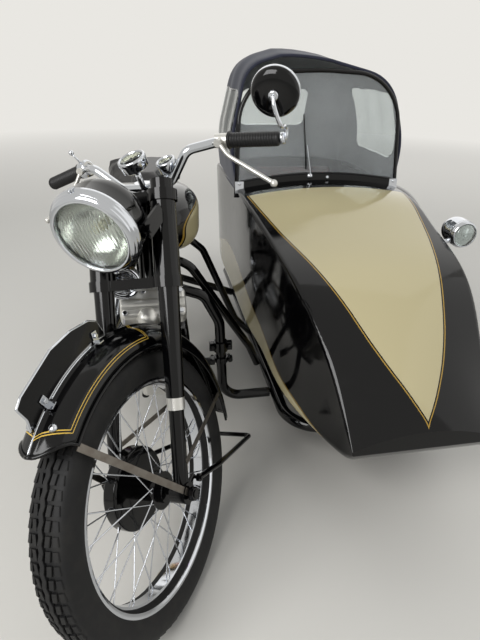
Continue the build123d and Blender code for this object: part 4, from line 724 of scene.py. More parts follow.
def makeFrontGuard():
    bm = bmesh.new()
    uvLayer = bm.loops.layers.uv.new("lines")
    section = [(-share, drop) for share, drop in reversed(guardSection[1:])] + list(guardSection)
    last = len(section) - 1
    skins = []
    uvOf = {}
    for inward in (0.0, guard["wall"]):
        rows = []
        for row in range(guard["rows"] + 1):
            line = []
            for number, (share, drop) in enumerate(section):
                angle = guardAngle(share, row / guard["rows"])
                inset = (inward / guard["half"]) * (1 if share > 0.9 else -1 if share < -0.9 else 0)
                vert = bm.verts.new(guardPoint(share - inset, drop + inward * (abs(share) < 0.97), angle))
                uvOf[vert] = (angle / 180.0, number / last)
                line.append(vert)
            rows.append(line)
        skins.append(rows)
        for low, high in zip(rows, rows[1:]):
            for i in range(last):
                bm.faces.new((low[i], low[i + 1], high[i + 1], high[i]))
    outer, inner = skins
    for i in range(last):
        for row in (0, guard["rows"]):
            bm.faces.new((outer[row][i], outer[row][i + 1], inner[row][i + 1], inner[row][i]))
    for row in range(guard["rows"]):
        for i in (0, last):
            bm.faces.new((outer[row][i], outer[row + 1][i], inner[row + 1][i], inner[row][i]))
    for face in bm.faces:
        for loop in face.loops:
            loop[uvLayer].uv = uvOf[loop.vert]
    shell = makeObject("frontGuardShell", bm, "linedGuardEnamel")

    # the rolled wire along the lower edges and the lip
    bm = bmesh.new()
    edge = guardSection[-1][1]
    steps = [row / guard["wireRows"] for row in range(guard["wireRows"] + 1)]
    path = [guardPoint(-1.0, edge, guardAngle(1.0, t)) for t in reversed(steps)]
    path += [guardPoint(share, drop, guardAngle(share, 0.0)) for share, drop in section[1:-1]]
    path += [guardPoint(1.0, edge, guardAngle(1.0, t)) for t in steps]
    addTube(bm, path, guard["wire"], 10)
    beadWire = makeObject("frontGuardBead", bm, "blackStoveEnamel")
    for piece in (shell, beadWire):
        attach(piece, "steering")
    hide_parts("front_mudguard")

    # the polished strip laid along the crown's bead: broad under the plate, fine ahead of it
    bm = bmesh.new()
    for first, last, half in ((70.5, 92.0, 0.062), (guard["frontDeg"] + 0.6, 67.0, 0.026)):
        shape = ((-half, 1.6), (-half, -0.4), (-half * 0.5, -1.3), (0, -1.6), (half * 0.5, -1.3), (half, -0.4),
                 (half, 1.6))
        addRings(bm, [[guardPoint(share, drop, first + (last - first) * row / 24) for share, drop in shape]
                      for row in range(25)], capped=True)
    strip = makeObject("guardCrownStrip", bm, "chromePlate")
    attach(strip, "steering")

    # the bright domed rivets that hold the stay's bridge under the lip
    bm = bmesh.new()
    for share in (-guard["rivetShare"], guard["rivetShare"]):
        base, shallow, deep = (guardPoint(share, drop, guard["rivetDeg"]) for drop in (8.6, 0, 30))
        addTurned(bm, framed(base, (shallow - deep).normalized()),
                  ((8.2, -2), (8.2, 0.8), (7.0, 3.6), (4.2, 5.4), (0, 6.0)), 24)
    rivets = makeObject("frontGuardRivets", bm, "chromePlate")
    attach(rivets, "steering")


makeFrontGuard()
print("front guard ready")

# Number plate: the blade stays as the CAD made it; its bright edging and clamps are added

plate = {"inner": 386.0, "edge": 2.6, "clampDegs": (94.0, 68.5), "pin": 3.0, "nut": (9.5, 4.5),
         # angle measured up from straight ahead, rise of the blade above its foot
         "outline": ((98.5, 2.0), (97.0, 30.0), (94.0, 41.0), (87.0, 49.0), (79.0, 54.0), (66.0, 54.0),
                     (63.3, 50.0), (62.6, 21.0), (60.4, 2.0)),
         # the clamp's cheek and foot: place across and outwards, size
         "clamp": ((4.5, 13.0, (3, 15, 26)), (10.5, 2.5, (13, 15, 2.6)))}


def makePlateTrim():
    bm = bmesh.new()
    corners = [wheelPlanePoint(0, plate["inner"] + rise, angle) for angle, rise in plate["outline"]]
    path = [a.lerp(b, i / 6) for a, b in zip(corners, corners[1:]) for i in range(6)] + corners[-1:]
    addTube(bm, path, plate["edge"], 10)
    edging = makeObject("plateEdging", bm, "chromePlate")
    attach(edging, "steering")

    bm = bmesh.new()
    for angle in plate["clampDegs"]:
        foot = wheelPlanePoint(0, guard["radius"] - 2, angle)
        outward = (wheelPlanePoint(0, guard["radius"] + 50, angle) - foot).normalized()
        along = (wheelPlanePoint(0, 380, angle + 2) - wheelPlanePoint(0, 380, angle - 2)).normalized()
        across = outward.cross(along)
        basis = Matrix((across, along, outward)).transposed().to_4x4()
        centre = foot + outward * 0.017
        for side in (-1, 1):
            for aside, out, size in plate["clamp"]:
                shift = across * side * aside / 1000 + outward * out / 1000
                addBox(bm, Matrix.Translation(foot + shift) @ basis, size)
        addRod(bm, centre - across * 0.010, centre + across * 0.010, plate["pin"], 14)
        for side in (1, -1):
            addHex(bm, framed(centre + across * side * 0.006, across * side, outward), *plate["nut"])
    clamps = softened(makeObject("plateClamps", bm, "chromePlate"), 0.5)
    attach(clamps, "steering")


makePlateTrim()
print("plate trim ready")

# Headlamp: hollow shell, stepped rim, fluted glass over a bowl reflector

lampLook = {"centre": (0.0, 128.0, 881.0), "dipDeg": 13.4, "rimDepth": 24.0, "lens": 79.0, "crown": 13.0,
            "bow": 9.5, "flutePitch": 9.0, "fluteDeep": 1.7, "glassThick": 2.6, "rings": 52, "steps": 240}
lampParts = (
    # name, finish, steps round, endless, profile
    ("headlampBowl", "blackStoveEnamel", 72, False,
     ((92, 2), (92, -4), (91, -6), (91, -40), (88.5, -56), (82, -71), (71, -85), (55, -97), (34, -106),
      (14, -109.5), (0, -110))),
    ("headlampSteppedRim", "chromePlate", 96, True,
     ((92.5, -6), (96, -6.5), (98.6, -4), (99, 1), (98.4, 5), (96.2, 7), (95.6, 9.5), (95.2, 12), (92.6, 13.6),
      (91.8, 16.5), (90.8, 18.6), (87.5, 20.4), (84, 22.6), (81, 23.6), (79.2, 22.4), (78.8, 14), (84, 6),
      (90, 2), (92.5, -2))),
    ("headlampReflector", "reflectorSilver", 72, False,
     ((78.8, 8), (77, -2), (70, -18), (58, -34), (42, -46), (26, -52), (14, -54), (12, -50), (0, -50))),
    ("headlampBulb", "dialPaper", 32, False,
     ((0, -50), (9, -50), (9, -34), (7.5, -33), (10, -28), (12, -20), (10, -12), (5, -8), (0, -7))),
)


def flutedHeight(x, radius):
    share = radius / lampLook["lens"]
    flute = lampLook["fluteDeep"] * (1 - share ** 6) * abs(math.sin(math.pi * x / lampLook["flutePitch"]))
    return lampLook["crown"] + lampLook["bow"] * (1 - share * share) - flute


def makeHeadlamp():
    dip = math.radians(lampLook["dipDeg"])
    ahead = Vector((0, -math.cos(dip), -math.sin(dip)))
    matrix = steeredFrame(Vector(lampLook["centre"]) - ahead * lampLook["rimDepth"], ahead)
    shell, rim, reflector, bulb = (turnedPiece(name, finishName, matrix, profile, steps, endless)
                                   for name, finishName, steps, endless, profile in lampParts)

    bm = bmesh.new()
    ringCount, steps = lampLook["rings"], lampLook["steps"]
    rims = []
    for isBack in (False, True):
        rings = []
        for ring in range(ringCount + 1):
            radius = lampLook["lens"] * (1 - ring / ringCount)
            row = []
            for i in range(steps if ring < ringCount else 1):
                x, y = radius * math.cos(math.tau * i / steps), radius * math.sin(math.tau * i / steps)
                height = flutedHeight(0, radius) - lampLook["glassThick"] if isBack else flutedHeight(x, radius)
                row.append(matrix @ metres(x, y, height))
            rings.append(row)
        rims.append(addRings(bm, rings)[0])
    front, back = rims
    for i in range(steps):
        j = (i + 1) % steps
        bm.faces.new((front[i], front[j], back[j], back[i]))
    lens = makeObject("headlampFlutedGlass", bm, "lampGlass")
    for piece in (shell, rim, reflector, lens, bulb):
        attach(piece, "steering")
    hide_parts("headlamp_shell")
    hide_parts("headlamp_rim")
    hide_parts("headlamp_lens")

    # a lug with its screw under the rim, and one on its top
    bm = bmesh.new()
    for turnDeg in (-90, 90):
        place = matrix @ Matrix.Rotation(math.radians(turnDeg), 4, "Z") @ Matrix.Translation((0.0975, 0, 0.002))
        addBox(bm, place, (7, 14, 12))
        addTurned(bm, place @ Matrix.Translation((0, 0, 0.006)),
                  ((0, 0), (3.2, 0), (3.2, 2), (2.2, 3), (0, 3)), 16)
    lugs = softened(makeObject("headlampRimLugs", bm, "chromePlate"), 0.8)
    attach(lugs, "steering")


makeHeadlamp()
print("headlamp ready")

# Instruments: plated cups with printed faces, needles and glasses

dialTable = (
    # centre, radius, marks round the face, needle turn
    ((-2.0, 366.0, 975.0), 34.0, 13, 130.0),
    ((62.0, 402.0, 950.0), 24.0, 9, 60.0),
)
dialProfiles = {
    # radius below the rim's, or the axis where None, and height
    "cup": ((None, -15), (6, -15), (1.5, -11), (1, 4), (0, 6), (0, 11), (1, 14), (3.5, 15), (6, 14),
            (6.6, 9.6), (None, 9.5)),
    "face": ((None, 9.7), (6.8, 9.7), (6.8, 10.4), (None, 10.4)),
}
dialTiltDeg = 18.0


def makeInstruments():
    cup, face, ink, glass = bmesh.new(), bmesh.new(), bmesh.new(), bmesh.new()
    tilt = math.radians(dialTiltDeg)
    for centre, radius, marks, needleDeg in dialTable:
        matrix = steeredFrame(centre, (0, -math.sin(tilt), math.cos(tilt)), (0, 1, 0.2))
        for bm, name in ((cup, "cup"), (face, "face")):
            addTurned(bm, matrix, [(0 if inset is None else radius - inset, height)
                                   for inset, height in dialProfiles[name]], 56)
        for number in range(marks):
            turn = Matrix.Rotation(math.radians(-135 + 270 * number / (marks - 1)), 4, "Z")
            addBox(ink, matrix @ turn @ Matrix.Translation(metres(0, radius - 10.5, 10.6)), (1.1, 4.2, 0.4))
        needle = matrix @ Matrix.Rotation(math.radians(needleDeg), 4, "Z")
        addBox(ink, needle @ Matrix.Translation(metres(0, radius * 0.28, 11.2)), (1.2, radius * 0.72, 0.5))
        addTurned(ink, matrix, ((0, 10.4), (2.6, 10.4), (2.6, 12.2), (0, 12.6)), 20)
        addTurned(glass, matrix, ((0, 13.4), (radius * 0.5, 13.0), (radius - 6.4, 12.2), (radius - 6.4, 11.8),
                                  (0, 12.8)), 56)
        x, y, z = centre
        addRod(cup, steered(x * 0.6, y + 10, 905), steered(x, y, z - 10), 7)
    pieces = (makeObject("dialCups", cup, "chromePlate"), makeObject("dialFaces", face, "dialPaper"),
              makeObject("dialMarks", ink, "mouldedRubber"), makeObject("dialGlasses", glass, "clearSheet"))
    for piece in pieces:
        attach(piece, "steering")
    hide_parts("instruments")


makeInstruments()

# Mirror: a domed black back in a bright ring on a cranked arm, the glass to the rider

mirrorLook = {"centre": (345.0, 413.0, 1047.0), "ahead": (0.0, -0.97, -0.24), "barEnd": (326.0, 451.3, 952.3),
              "arm": 4.6, "plug": 12.5,
              "dome": ((51, -6), (50.5, 0), (47, 5), (40, 9), (30, 11.6), (16, 13), (0, 13.4)),
              "ring": ((51, -3), (52, -6), (52, -10), (50.5, -12.4), (47, -13), (46.4, -11), (0, -11)),
              "boss": ((0, 12.5), (11, 12.5), (11, 16.5), (9, 19), (6, 19.5), (0, 19.5)),
              # knots of the arm: from the bar's end, then from the mirror's centre
              "low": ((0, 0, 0), (13, 0, 0), (19, -4, 22)),
              "high": ((4, -16, -62), (1, -24, -26), (0, -17, -3))}


def makeMirror():
    matrix = steeredFrame(mirrorLook["centre"], mirrorLook["ahead"])
    dome = turnedPiece("mirrorDome", "blackStoveEnamel", matrix, mirrorLook["dome"], 64)
    bm = bmesh.new()
    addTurned(bm, matrix, mirrorLook["ring"], 64)
    addTurned(bm, matrix, mirrorLook["boss"], 32)
    ring = makeObject("mirrorRing", bm, "chromePlate")
    bm = bmesh.new()
    knots = [steered(*(Vector(start) + Vector(step)))
             for start, steps in ((mirrorLook["barEnd"], mirrorLook["low"]),
                                  (mirrorLook["centre"], mirrorLook["high"]))
             for step in steps]
    addTube(bm, smoothPath(knots, 9), mirrorLook["arm"], 16)
    x, y, z = mirrorLook["barEnd"]
    addRod(bm, steered(x + 1, y, z), steered(x + 11, y, z), mirrorLook["plug"], 28)
    arm = makeObject("mirrorArm", bm, "chromePlate")
    for piece in (dome, ring, arm):
        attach(piece, "steering")
    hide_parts("mirror")


makeMirror()

# Grips: ribbed rubber with a flange at each inner end, and the twist grip's drum with its lever

gripLook = {"start": (209.5, 443.3, 971.8), "end": (322.0, 451.0, 953.0), "ribs": 17, "high": 16.5, "low": 14.8,
            "flange": ((0, 0), (18.5, 0), (19.5, 1.5), (19.5, 4), (17, 5.5)),
            "drum": ((0, 0), (20, 0), (21.5, 2), (21.5, 22), (19.5, 25), (15, 26), (0, 26)),
            "lever": (-30.0, -12.0, 42.0), "knob": 6.5}


def gripEnds(side):
    return [steered(side * x, y, z) for x, y, z in (gripLook["start"], gripLook["end"])]


def makeGrips():
    bm = bmesh.new()
    low, high = gripLook["low"], gripLook["high"]
    for side in (-1, 1):
        start, end = gripEnds(side)
        long = (end - start).length * 1000
        profile = list(gripLook["flange"])
        pitch = (long - 10) / gripLook["ribs"]
        for rib in range(gripLook["ribs"]):
            base = 6 + rib * pitch
            profile += [(low, base), (high, base + 0.3 * pitch), (high, base + 0.66 * pitch),
                        (low, base + 0.9 * pitch)]
        profile += [(high, long - 2), (14, long + 3), (0, long + 4)]
        addTurned(bm, framed(start, end - start), profile, 40)
    drum = bmesh.new()
    start, end = gripEnds(-1)
    matrix = framed(start + (start - end).normalized() * 0.002, start - end)
    addTurned(drum, matrix, gripLook["drum"], 40)
    post = matrix @ Vector((0, 0, 0.013))
    tip = post + metres(*gripLook["lever"])
    addRod(drum, post, tip, 2.6, 12)
    arcs = [math.pi * i / 12 for i in range(13)]
    addTurned(drum, framed(tip, tip - post),
              [(gripLook["knob"] * math.sin(arc), -gripLook["knob"] * math.cos(arc)) for arc in arcs], 20)
    twist = makeObject("twistDrum", drum, "chromePlate")
    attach(twist, "steering")
    grips = makeObject("ribbedGrips", bm, "mouldedRubber")
    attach(grips, "steering")
    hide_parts("hand_grips")


makeGrips()
print("controls ready")

# Sidecar hood: cloth stretched over three hidden bows, with sewn-in clear windows

screen = {"y": 1062.0, "z": 739.0, "rakeDeg": 8.0, "half": 327.0}
hood = {"set": 10.0, "rows": 60, "steps": 120, "thick": 2.0, "paneThick": 0.8, "bows": (1150.0, 1310.0, 1455.0),
        "sag": 5.0, "full": 430.0, "waist": 165.0, "bulge": 22.0, "tumble": 34.0, "crownX": -70.0,
        "rounds": (62.0, 96.0, 60.0), "tailSteps": (0.15, 0.35, 0.6, 0.8), "frontHem": 6.0, "sideHem": 3.4}
hoodStations = (
    # y, half base, base z, left shoulder z, crown z, right shoulder z
    (1040.0, 318.0, 730.0, 1130.0, 1164.0, 1118.0), (1170.0, 322.0, 730.0, 1172.0, 1206.0, 1132.0),
    (1310.0, 322.0, 730.0, 1186.0, 1220.0, 1140.0), (1450.0, 320.0, 730.0, 1168.0, 1200.0, 1124.0),
    (1570.0, 314.0, 720.0, 1064.0, 1092.0, 1044.0), (1650.0, 300.0, 706.0, 880.0, 892.0, 872.0),
)
hoodWindows = (
    # name, centre (x from the middle, y, z), size across the opening, prism depth, corner radius, facing
    ("hoodLeftWindow", (-340.0, 1330.0, 955.0), (380.0, 250.0), 120.0, 46.0, "X"),
    ("hoodRightWindow", (340.0, 1330.0, 955.0), (380.0, 250.0), 120.0, 46.0, "X"),
    ("hoodRearWindow", (-60.0, 1590.0, 985.0), (310.0, 160.0), 150.0, 30.0, "Y"),
)
loopStore = {}


def stationAt(y):
    # the stations' values at y, by a smooth curve through them
    rows = hoodStations
    y = min(max(y, rows[0][0]), rows[-1][0])
    number = max(i for i in range(len(rows) - 1) if rows[i][0] <= y)
    a, b, c, d = (rows[min(max(number + k, 0), len(rows) - 1)] for k in (-1, 0, 1, 2))
    step = c[0] - b[0]
    t = (y - b[0]) / step
    values = []
    for column in range(1, 6):
        p0, p1, p2, p3 = a[column], b[column], c[column], d[column]
        m1 = (p2 - p0) * step / max(c[0] - a[0], 1)
        m2 = (p3 - p1) * step / max(d[0] - b[0], 1)
        values.append((2 * t ** 3 - 3 * t ** 2 + 1) * p1 + (t ** 3 - 2 * t ** 2 + t) * m1
                      + (3 * t ** 2 - 2 * t ** 3) * p2 + (t ** 3 - t ** 2) * m2)
    return values


def bend(t, start, corner, end):
    # a quadratic curve from start to end, drawn to the corner
    return (1 - t) ** 2 * start + 2 * t * (1 - t) * corner + t * t * end


def hoodLoop(y):
    # the section from the left base over the crown to the right base, as (x, z) points
    half, low, left, crown, right = stationAt(y)
    tall = (crown - low) / hood["full"]
    side = half + hood["bulge"] * tall
    middle = low + hood["waist"] * tall
    top = side - (hood["bulge"] + hood["tumble"]) * tall
    shoulders = Vector((-top, left)), Vector((top, right))
    peak = 2 * Vector((hood["crownX"], crown)) - 0.5 * (shoulders[0] + shoulders[1])
    outline = [Vector((-half, low)), Vector((-side, middle)),
               *(bend(i / 12, shoulders[0], peak, shoulders[1]) for i in range(13)),
               Vector((side, middle)), Vector((half, low))]
    last = len(outline) - 1
    leftRound, rightRound, waistRound = hood["rounds"]
    # corner number: radius, the neighbours that it is drawn to
    rounds = {1: (waistRound, 0, 2), 2: (leftRound * tall, 1, 6),
              last - 2: (rightRound * tall, last - 6, last - 1), last - 1: (waistRound, last - 2, last)}
    points = []
    for number, corner in enumerate(outline):
        if number in rounds:
            radius, one, other = rounds[number]
            before, after = outline[one] - corner, outline[other] - corner
            reach = min(radius, before.length * 0.45, after.length * 0.9)
            start, end = corner + before.normalized() * reach, corner + after.normalized() * reach
            points += [bend(i / 8, start, corner, end) for i in range(9)]
        elif not (3 <= number <= 5 or last - 5 <= number <= last - 3):
            points.append(corner)
    return spacedEvenly(points, hood["steps"])


def hoodLoopNear(y):
    # the loop at the nearest whole millimetre, worked out once
    key = round(y, 0)
    if key not in loopStore:
        loopStore[key] = hoodLoop(key)
    return loopStore[key]


def hoodPoint(t, i):
    # t runs from the screen to the tail, i round the section
    tilt = math.tan(math.radians(screen["rakeDeg"]))
    tail = hoodStations[-1][0]
    y = hood["bows"][0]
    for _ in range(4):
        z = hoodLoopNear(y)[i].y
        start = screen["y"] + hood["set"] + (z - screen["z"]) * tilt
        y = start + t * (tail - start)
    point = hoodLoopNear(y)[i]
    bows = (start, *hood["bows"], tail)
    sag = 0.0
    for a, b in zip(bows, bows[1:]):
        if a <= y <= b:
            loose = min(1.0, max(0.0, (point.y - 760) / 160))        # none at the foot, all of it above
            sag = math.sin(math.pi * (y - a) / (b - a)) ** 2 * hood["sag"] * loose
    inward = Vector((-point.x, 0.6 * (880 - point.y))).normalized()
    point = point + inward * sag
    return at(datum["sidecarX"] + point.x, y, point.y)


def hoodSkin(name, thick, *finishNames):
    bm = bmesh.new()
    steps = hood["steps"]
    last = addRings(bm, [[hoodPoint(row / hood["rows"], i) for i in range(steps + 1)]
                         for row in range(hood["rows"] + 1)], False)[-1]
    # the tail panel, drawn in towards the line between its feet
    ring = last
    for share in hood["tailSteps"]:
        fresh = []
        for number, vert in enumerate(last):
            point = vert.co.lerp(last[0].co.lerp(last[-1].co, number / steps), share)
            point.y += 0.010 * math.sin(math.pi * min(share + 0.2, 1.0))
            fresh.append(bm.verts.new(point))
        for i in range(steps):
            bm.faces.new((ring[i], ring[i + 1], fresh[i + 1], fresh[i]))
        ring = fresh
    bmesh.ops.remove_doubles(bm, verts=bm.verts, dist=0.0004)
    skin = makeObject(name, bm, *finishNames)
    solid = skin.modifiers.new("clothThickness", "SOLIDIFY")
    solid.thickness = thick / 1000
    solid.offset = -1.0
    solid.material_offset = len(finishNames) - 1
    return apply(skin)


def windowPrism(centre, size, depth, corner, facing):
    # a rounded block through the cloth, in the shape of a window
    outline = []
    for quarter, (signA, signB) in enumerate(((1, 1), (-1, 1), (-1, -1), (1, -1))):
        for i in range(7):
            turn = math.pi / 2 * (quarter + i / 6)
            outline.append((signA * (size[0] / 2 - corner) + corner * math.cos(turn),
                            signB * (size[1] / 2 - corner) + corner * math.sin(turn)))
    x, y, z = centre[0] + datum["sidecarX"], centre[1], centre[2]
    bm = bmesh.new()
    addRings(bm, [[at(x + reach, y + a, z + b) if facing == "X" else at(x + a, y + reach, z + b)
                   for a, b in outline] for reach in (-depth, depth)], capped=True)
    return makeObject("windowPrism", bm, smooth=False)


def cutBy(thing, cutter, operation):
    cut = thing.modifiers.new("cut", "BOOLEAN")
    cut.operation = operation
    cut.solver = "EXACT"
    cut.object = cutter
    return apply(thing)


def makeHood():
    cloth = hoodSkin("hoodCloth", hood["thick"], "hoodCloth", "hoodLining")
    panes = []
    for name, *window in hoodWindows:
        prism = windowPrism(*window)
        pane = hoodSkin(name, hood["paneThick"], "clearSheet")
        cutBy(pane, prism, "INTERSECT")
        cutBy(cloth, prism, "DIFFERENCE")
        bpy.data.objects.remove(prism)
        panes.append(pane)
    bm = bmesh.new()
    addTube(bm, [hoodPoint(0.0, i) for i in range(hood["steps"] + 1)], hood["frontHem"], 12)
    for end in (0, hood["steps"]):
        addTube(bm, [hoodPoint(row / 40, end) for row in range(41)], hood["sideHem"], 8)
    hem = makeObject("hoodHem", bm, "hoodCloth")
    for piece in (cloth, hem, *panes):
        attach(piece, "root")
    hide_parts("hood")
    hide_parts("hood_windows")


makeHood()
print("hood ready")

# Windscreen fittings: wiper, corner clips and the rubber beading along the pane's foot

screenTrim = {"pivot": ((0, -3), (11, -3), (11, 4), (8, 8), (4, 10), (0, 10)),
              "knob": ((0, -3), (7, -3), (7, 3), (4, 6), (0, 6)),
              "screw": ((0, 0), (5.5, 0), (5.5, 1.5), (3.5, 3.4), (0, 3.8)),
              "clip": (34, 44, 4), "clipIn": 12.0,
              # places across, up and ahead
              "wiperArm": ((-36, 46, 17), (-40, 80, 16), (-52, 160, 10)),
              "wiperBlade": ((-52, 72, 7), (-58, 160, 6), (-68, 268, 6)),
              # the beading: half length, height at its ends, rise in the middle, radius
              "beading": (318.0, 27.0, 29.0, 4.2)}


def onScreen(across, up, ahead=0.0):
    lean = math.radians(screen["rakeDeg"])
    return at(datum["sidecarX"] + across, screen["y"] + up * math.sin(lean) - ahead * math.cos(lean),
              screen["z"] + up * math.cos(lean) + ahead * math.sin(lean))


def makeScreenTrim():
    lean = math.radians(screen["rakeDeg"])
    out = Vector((0, -math.cos(lean), math.sin(lean)))
    bm = bmesh.new()
    addTurned(bm, framed(onScreen(-36, 46, 8), out), screenTrim["pivot"], 28)
    addTube(bm, [onScreen(*place) for place in screenTrim["wiperArm"]], 2.4, 10)
    addTurned(bm, framed(onScreen(36, 40, 8), out), screenTrim["knob"], 24)
    for side in (-1, 1):
        across = side * (screen["half"] - screenTrim["clipIn"])
        addBox(bm, framed(onScreen(across, 8, 9), out), screenTrim["clip"])
        for high in (-13, 13):
            addTurned(bm, framed(onScreen(across, 8 + high, 11), out), screenTrim["screw"], 20)
    bright = softened(makeObject("screenFittings", bm, "chromePlate"), 0.7)
    bm = bmesh.new()
    addTube(bm, [onScreen(*place) for place in screenTrim["wiperBlade"]], 2.6, 8)
    half, low, rise, radius = screenTrim["beading"]
    shares = [-1 + 2 * i / 40 for i in range(41)]
    addTube(bm, [onScreen(half * share, low + rise * (1 - share ** 2), 4.5) for share in shares], radius, 10)
    rubber = makeObject("screenRubbers", bm, "mouldedRubber")
    for piece in (bright, rubber):
        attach(piece, "root")


makeScreenTrim()

# Padded pieces: foam in leathercloth, its bulge let out by a cloth simulation

swell = {"quality": 6, "mass": 0.25, "tension_stiffness": 26, "compression_stiffness": 22,
         "bending_stiffness": 0.6, "use_pressure": True, "uniform_pressure_force": 4.0,
         "vertex_group_mass": "held"}
saddleLook = {"node": "saddle", "finish": "saddleHide", "slot": "black_leather", "voxelMm": 5.5, "mostMm": 12.0,
              "fill": 0.7, "panTop": 792.0}
seatLook = {"node": "sidecar_seat", "finish": "seatHide", "slot": "seat_leather", "voxelMm": 6.0,
            "mostMm": 14.0, "fill": 0.6, "boardTop": 262.0, "backFrom": 410.0, "backY": 1560.0,
            "backTop": 560.0, "stitchMm": 58.0, "stitchShare": 0.06}


def puffed(name, look, isHeld):
    # swell a copy of the CAD shape from inside, with its stitched or boarded places held still
    mesh = frame["nodes"][look["node"]].data.copy()
    thing = newObject(name, mesh)
    mesh.materials.clear()
    remesh = thing.modifiers.new("even", "REMESH")
    remesh.mode = "VOXEL"
    remesh.voxel_size = look["voxelMm"] / 1000
    apply(thing)
    before = [vert.co.copy() for vert in thing.data.vertices]
    group = thing.vertex_groups.new(name="held")
    held = [vert.index for vert in thing.data.vertices if isHeld(toRow.inverted() @ vert.co)]
    group.add(held, 1.0, "REPLACE")
    cloth = thing.modifiers.new("swell", "CLOTH")
    for setting, value in swell.items():
        setattr(cloth.settings, setting, value)
    cloth.settings.effector_weights.gravity = 0.0
    scene = bpy.context.scene
    for number in range(1, 21):
        scene.frame_set(number)
    apply(thing)
    scene.frame_set(1)
    most = look["mostMm"] / 1000
    for vert, start in zip(thing.data.vertices, before):
        moved = vert.co - start
        if moved.length > most:
            vert.co = start + moved.normalized() * most
    smooth = thing.modifiers.new("settle", "SMOOTH")
    smooth.factor = 0.5
    smooth.iterations = 2
    fine = thing.modifiers.new("fine", "SUBSURF")
    fine.levels = 1
    fine.render_levels = 1
    apply(thing)
    thing.vertex_groups.clear()
    shade(thing.data, True)
    thing.data.materials.append(finish[look["finish"]])
    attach(thing, "root")
    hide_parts(look["node"])


def saddleHeld(place):
    # the steel pan under the saddle holds its lower skirt
    return place.z < saddleLook["panTop"]


def seatHeld(place):
    # board under the cushion, board behind the back, and rows of stitching
    behind = place.y > seatLook["backY"] + (seatLook["backTop"] - place.z) * 0.1
    row = (place.x - datum["sidecarX"]) / seatLook["stitchMm"]
    return (place.z < seatLook["boardTop"] or (place.z > seatLook["backFrom"] and behind)
            or abs(row - round(row)) < seatLook["stitchShare"])


puffed("sprungSaddle", saddleLook, saddleHeld)
puffed("sidecarCushions", seatLook, seatHeld)
print("padded pieces ready")

# Saddle: coil springs in place of the plain posts

saddleRig = {"springX": 92.0, "springY": 1159.0, "topZ": 775.0, "length": 130.0, "coil": 20.0, "wire": 3.6,
             "turns": 6.5, "perTurn": 20, "cup": (24.0, 7.0), "core": 6.0,
             # the nose's pivot, and the strap below it: start, end, radius, steps
             "nose": (((0, 924, 741), (0, 924, 775), 14, 24), ((0, 880, 728), (0, 932, 755), 10, 20))}


def makeSprings():
    bm = bmesh.new()
    y, top, long, coil = (saddleRig[key] for key in ("springY", "topZ", "length", "coil"))
    foot = top - long
    cup, high = saddleRig["cup"]
    steps = int(saddleRig["turns"] * saddleRig["perTurn"])
    for side in (-1, 1):
        x = side * saddleRig["springX"]
        points = []
        for i in range(steps + 1):
            t = i / steps
            turn = math.tau * saddleRig["turns"] * t
            eased = min(max((t - 0.08) / 0.84, 0), 1)        # closed coils at both ends
            points.append(at(x + coil * math.cos(turn), y + coil * math.sin(turn),
                             foot + 10 + (long - 20) * eased))
        addTube(bm, points, saddleRig["wire"], 10)
        for z in (foot, top - high):
            addRod(bm, at(x, y, z), at(x, y, z + high), cup, 32)
        addRod(bm, at(x, y, foot), at(x, y, top), saddleRig["core"], 16)
        addRod(bm, at(x, y, foot + 8), at(x + side * 4, y - 55, foot - 58), 7, 16)
    for start, end, radius, around in saddleRig["nose"]:
        addRod(bm, at(*start), at(*end), radius, around)
    springs = makeObject("saddleCoils", bm, "dullSteel")
    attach(springs, "root")
    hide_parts("saddle_springs")


makeSprings()

# Engine furniture: bolts of the rocker lid and the barrel's foot, the lid's boss and rail

crank = {"y": 612.0, "z": 332.0, "leanDeg": 40.0}
engineTrim = {
    # forward, lateral places and height up the cylinder; size across the flats and height of the head
    "lidBolts": (((-30, (-74, -24, 24, 74)), (30, (-74, 34, 74))), 366.0, (13, 7)),
    "footNuts": (((-52.2, (-52.2, 52.2)), (52.2, (-52.2, 52.2))), 114.0, (14, 9)),
}
rockerBoss = {"along": 304.0, "forward": 36.0, "lateral": -17.0,
              "dome": ((0, 0), (21, 0), (27, 5), (29, 16), (30, 42), (28.5, 52), (24, 61), (17, 67), (9, 70),
                       (0, 71)),
              "railAlong": 357.0, "railForward": 4.0, "railHalf": 84.0, "railRadius": 18.0}


def onEngine(along, forward=0.0, lateral=0.0):
    lean = math.radians(crank["leanDeg"])
    return at(lateral, crank["y"] - along * math.sin(lean) - forward * math.cos(lean),
              crank["z"] + along * math.cos(lean) - forward * math.sin(lean))


def makeEngineTrim():
    lean = math.radians(crank["leanDeg"])
    up = Vector((0, -math.sin(lean), math.cos(lean)))
    bright, dull, cast = bmesh.new(), bmesh.new(), bmesh.new()
    for bm, name in ((bright, "lidBolts"), (dull, "footNuts")):
        places, along, head = engineTrim[name]
        for forward, laterals in places:
            for lateral in laterals:
                addHex(bm, framed(onEngine(along, forward, lateral), up), *head)
    # the domed rocker boss on the lid's front edge, and the rounded rail along the lid
    boss = framed(onEngine(rockerBoss["along"], rockerBoss["forward"], rockerBoss["lateral"]), up)
    addTurned(cast, boss, rockerBoss["dome"], 64)
    ends = [onEngine(rockerBoss["railAlong"], rockerBoss["railForward"], side * rockerBoss["railHalf"])
            for side in (-1, 1)]
    addRod(cast, *ends, rockerBoss["railRadius"], 40)
    trim = softened(makeObject("engineCaps", bright, "chromePlate"), 0.5)
    bolts = makeObject("engineNuts", dull, "dullSteel", smooth=False)
    boss = softened(makeObject("rockerBoss", cast, "castAlloy"), 2.0)
    for piece, slot in ((trim, "bright_chrome"), (bolts, "dull_steel"), (boss, "cast_alloy")):
        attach(piece, "root")


makeEngineTrim()

# Arm clamp: two split clamps with their pinch bolts on the upright run of the foremost sidecar arm

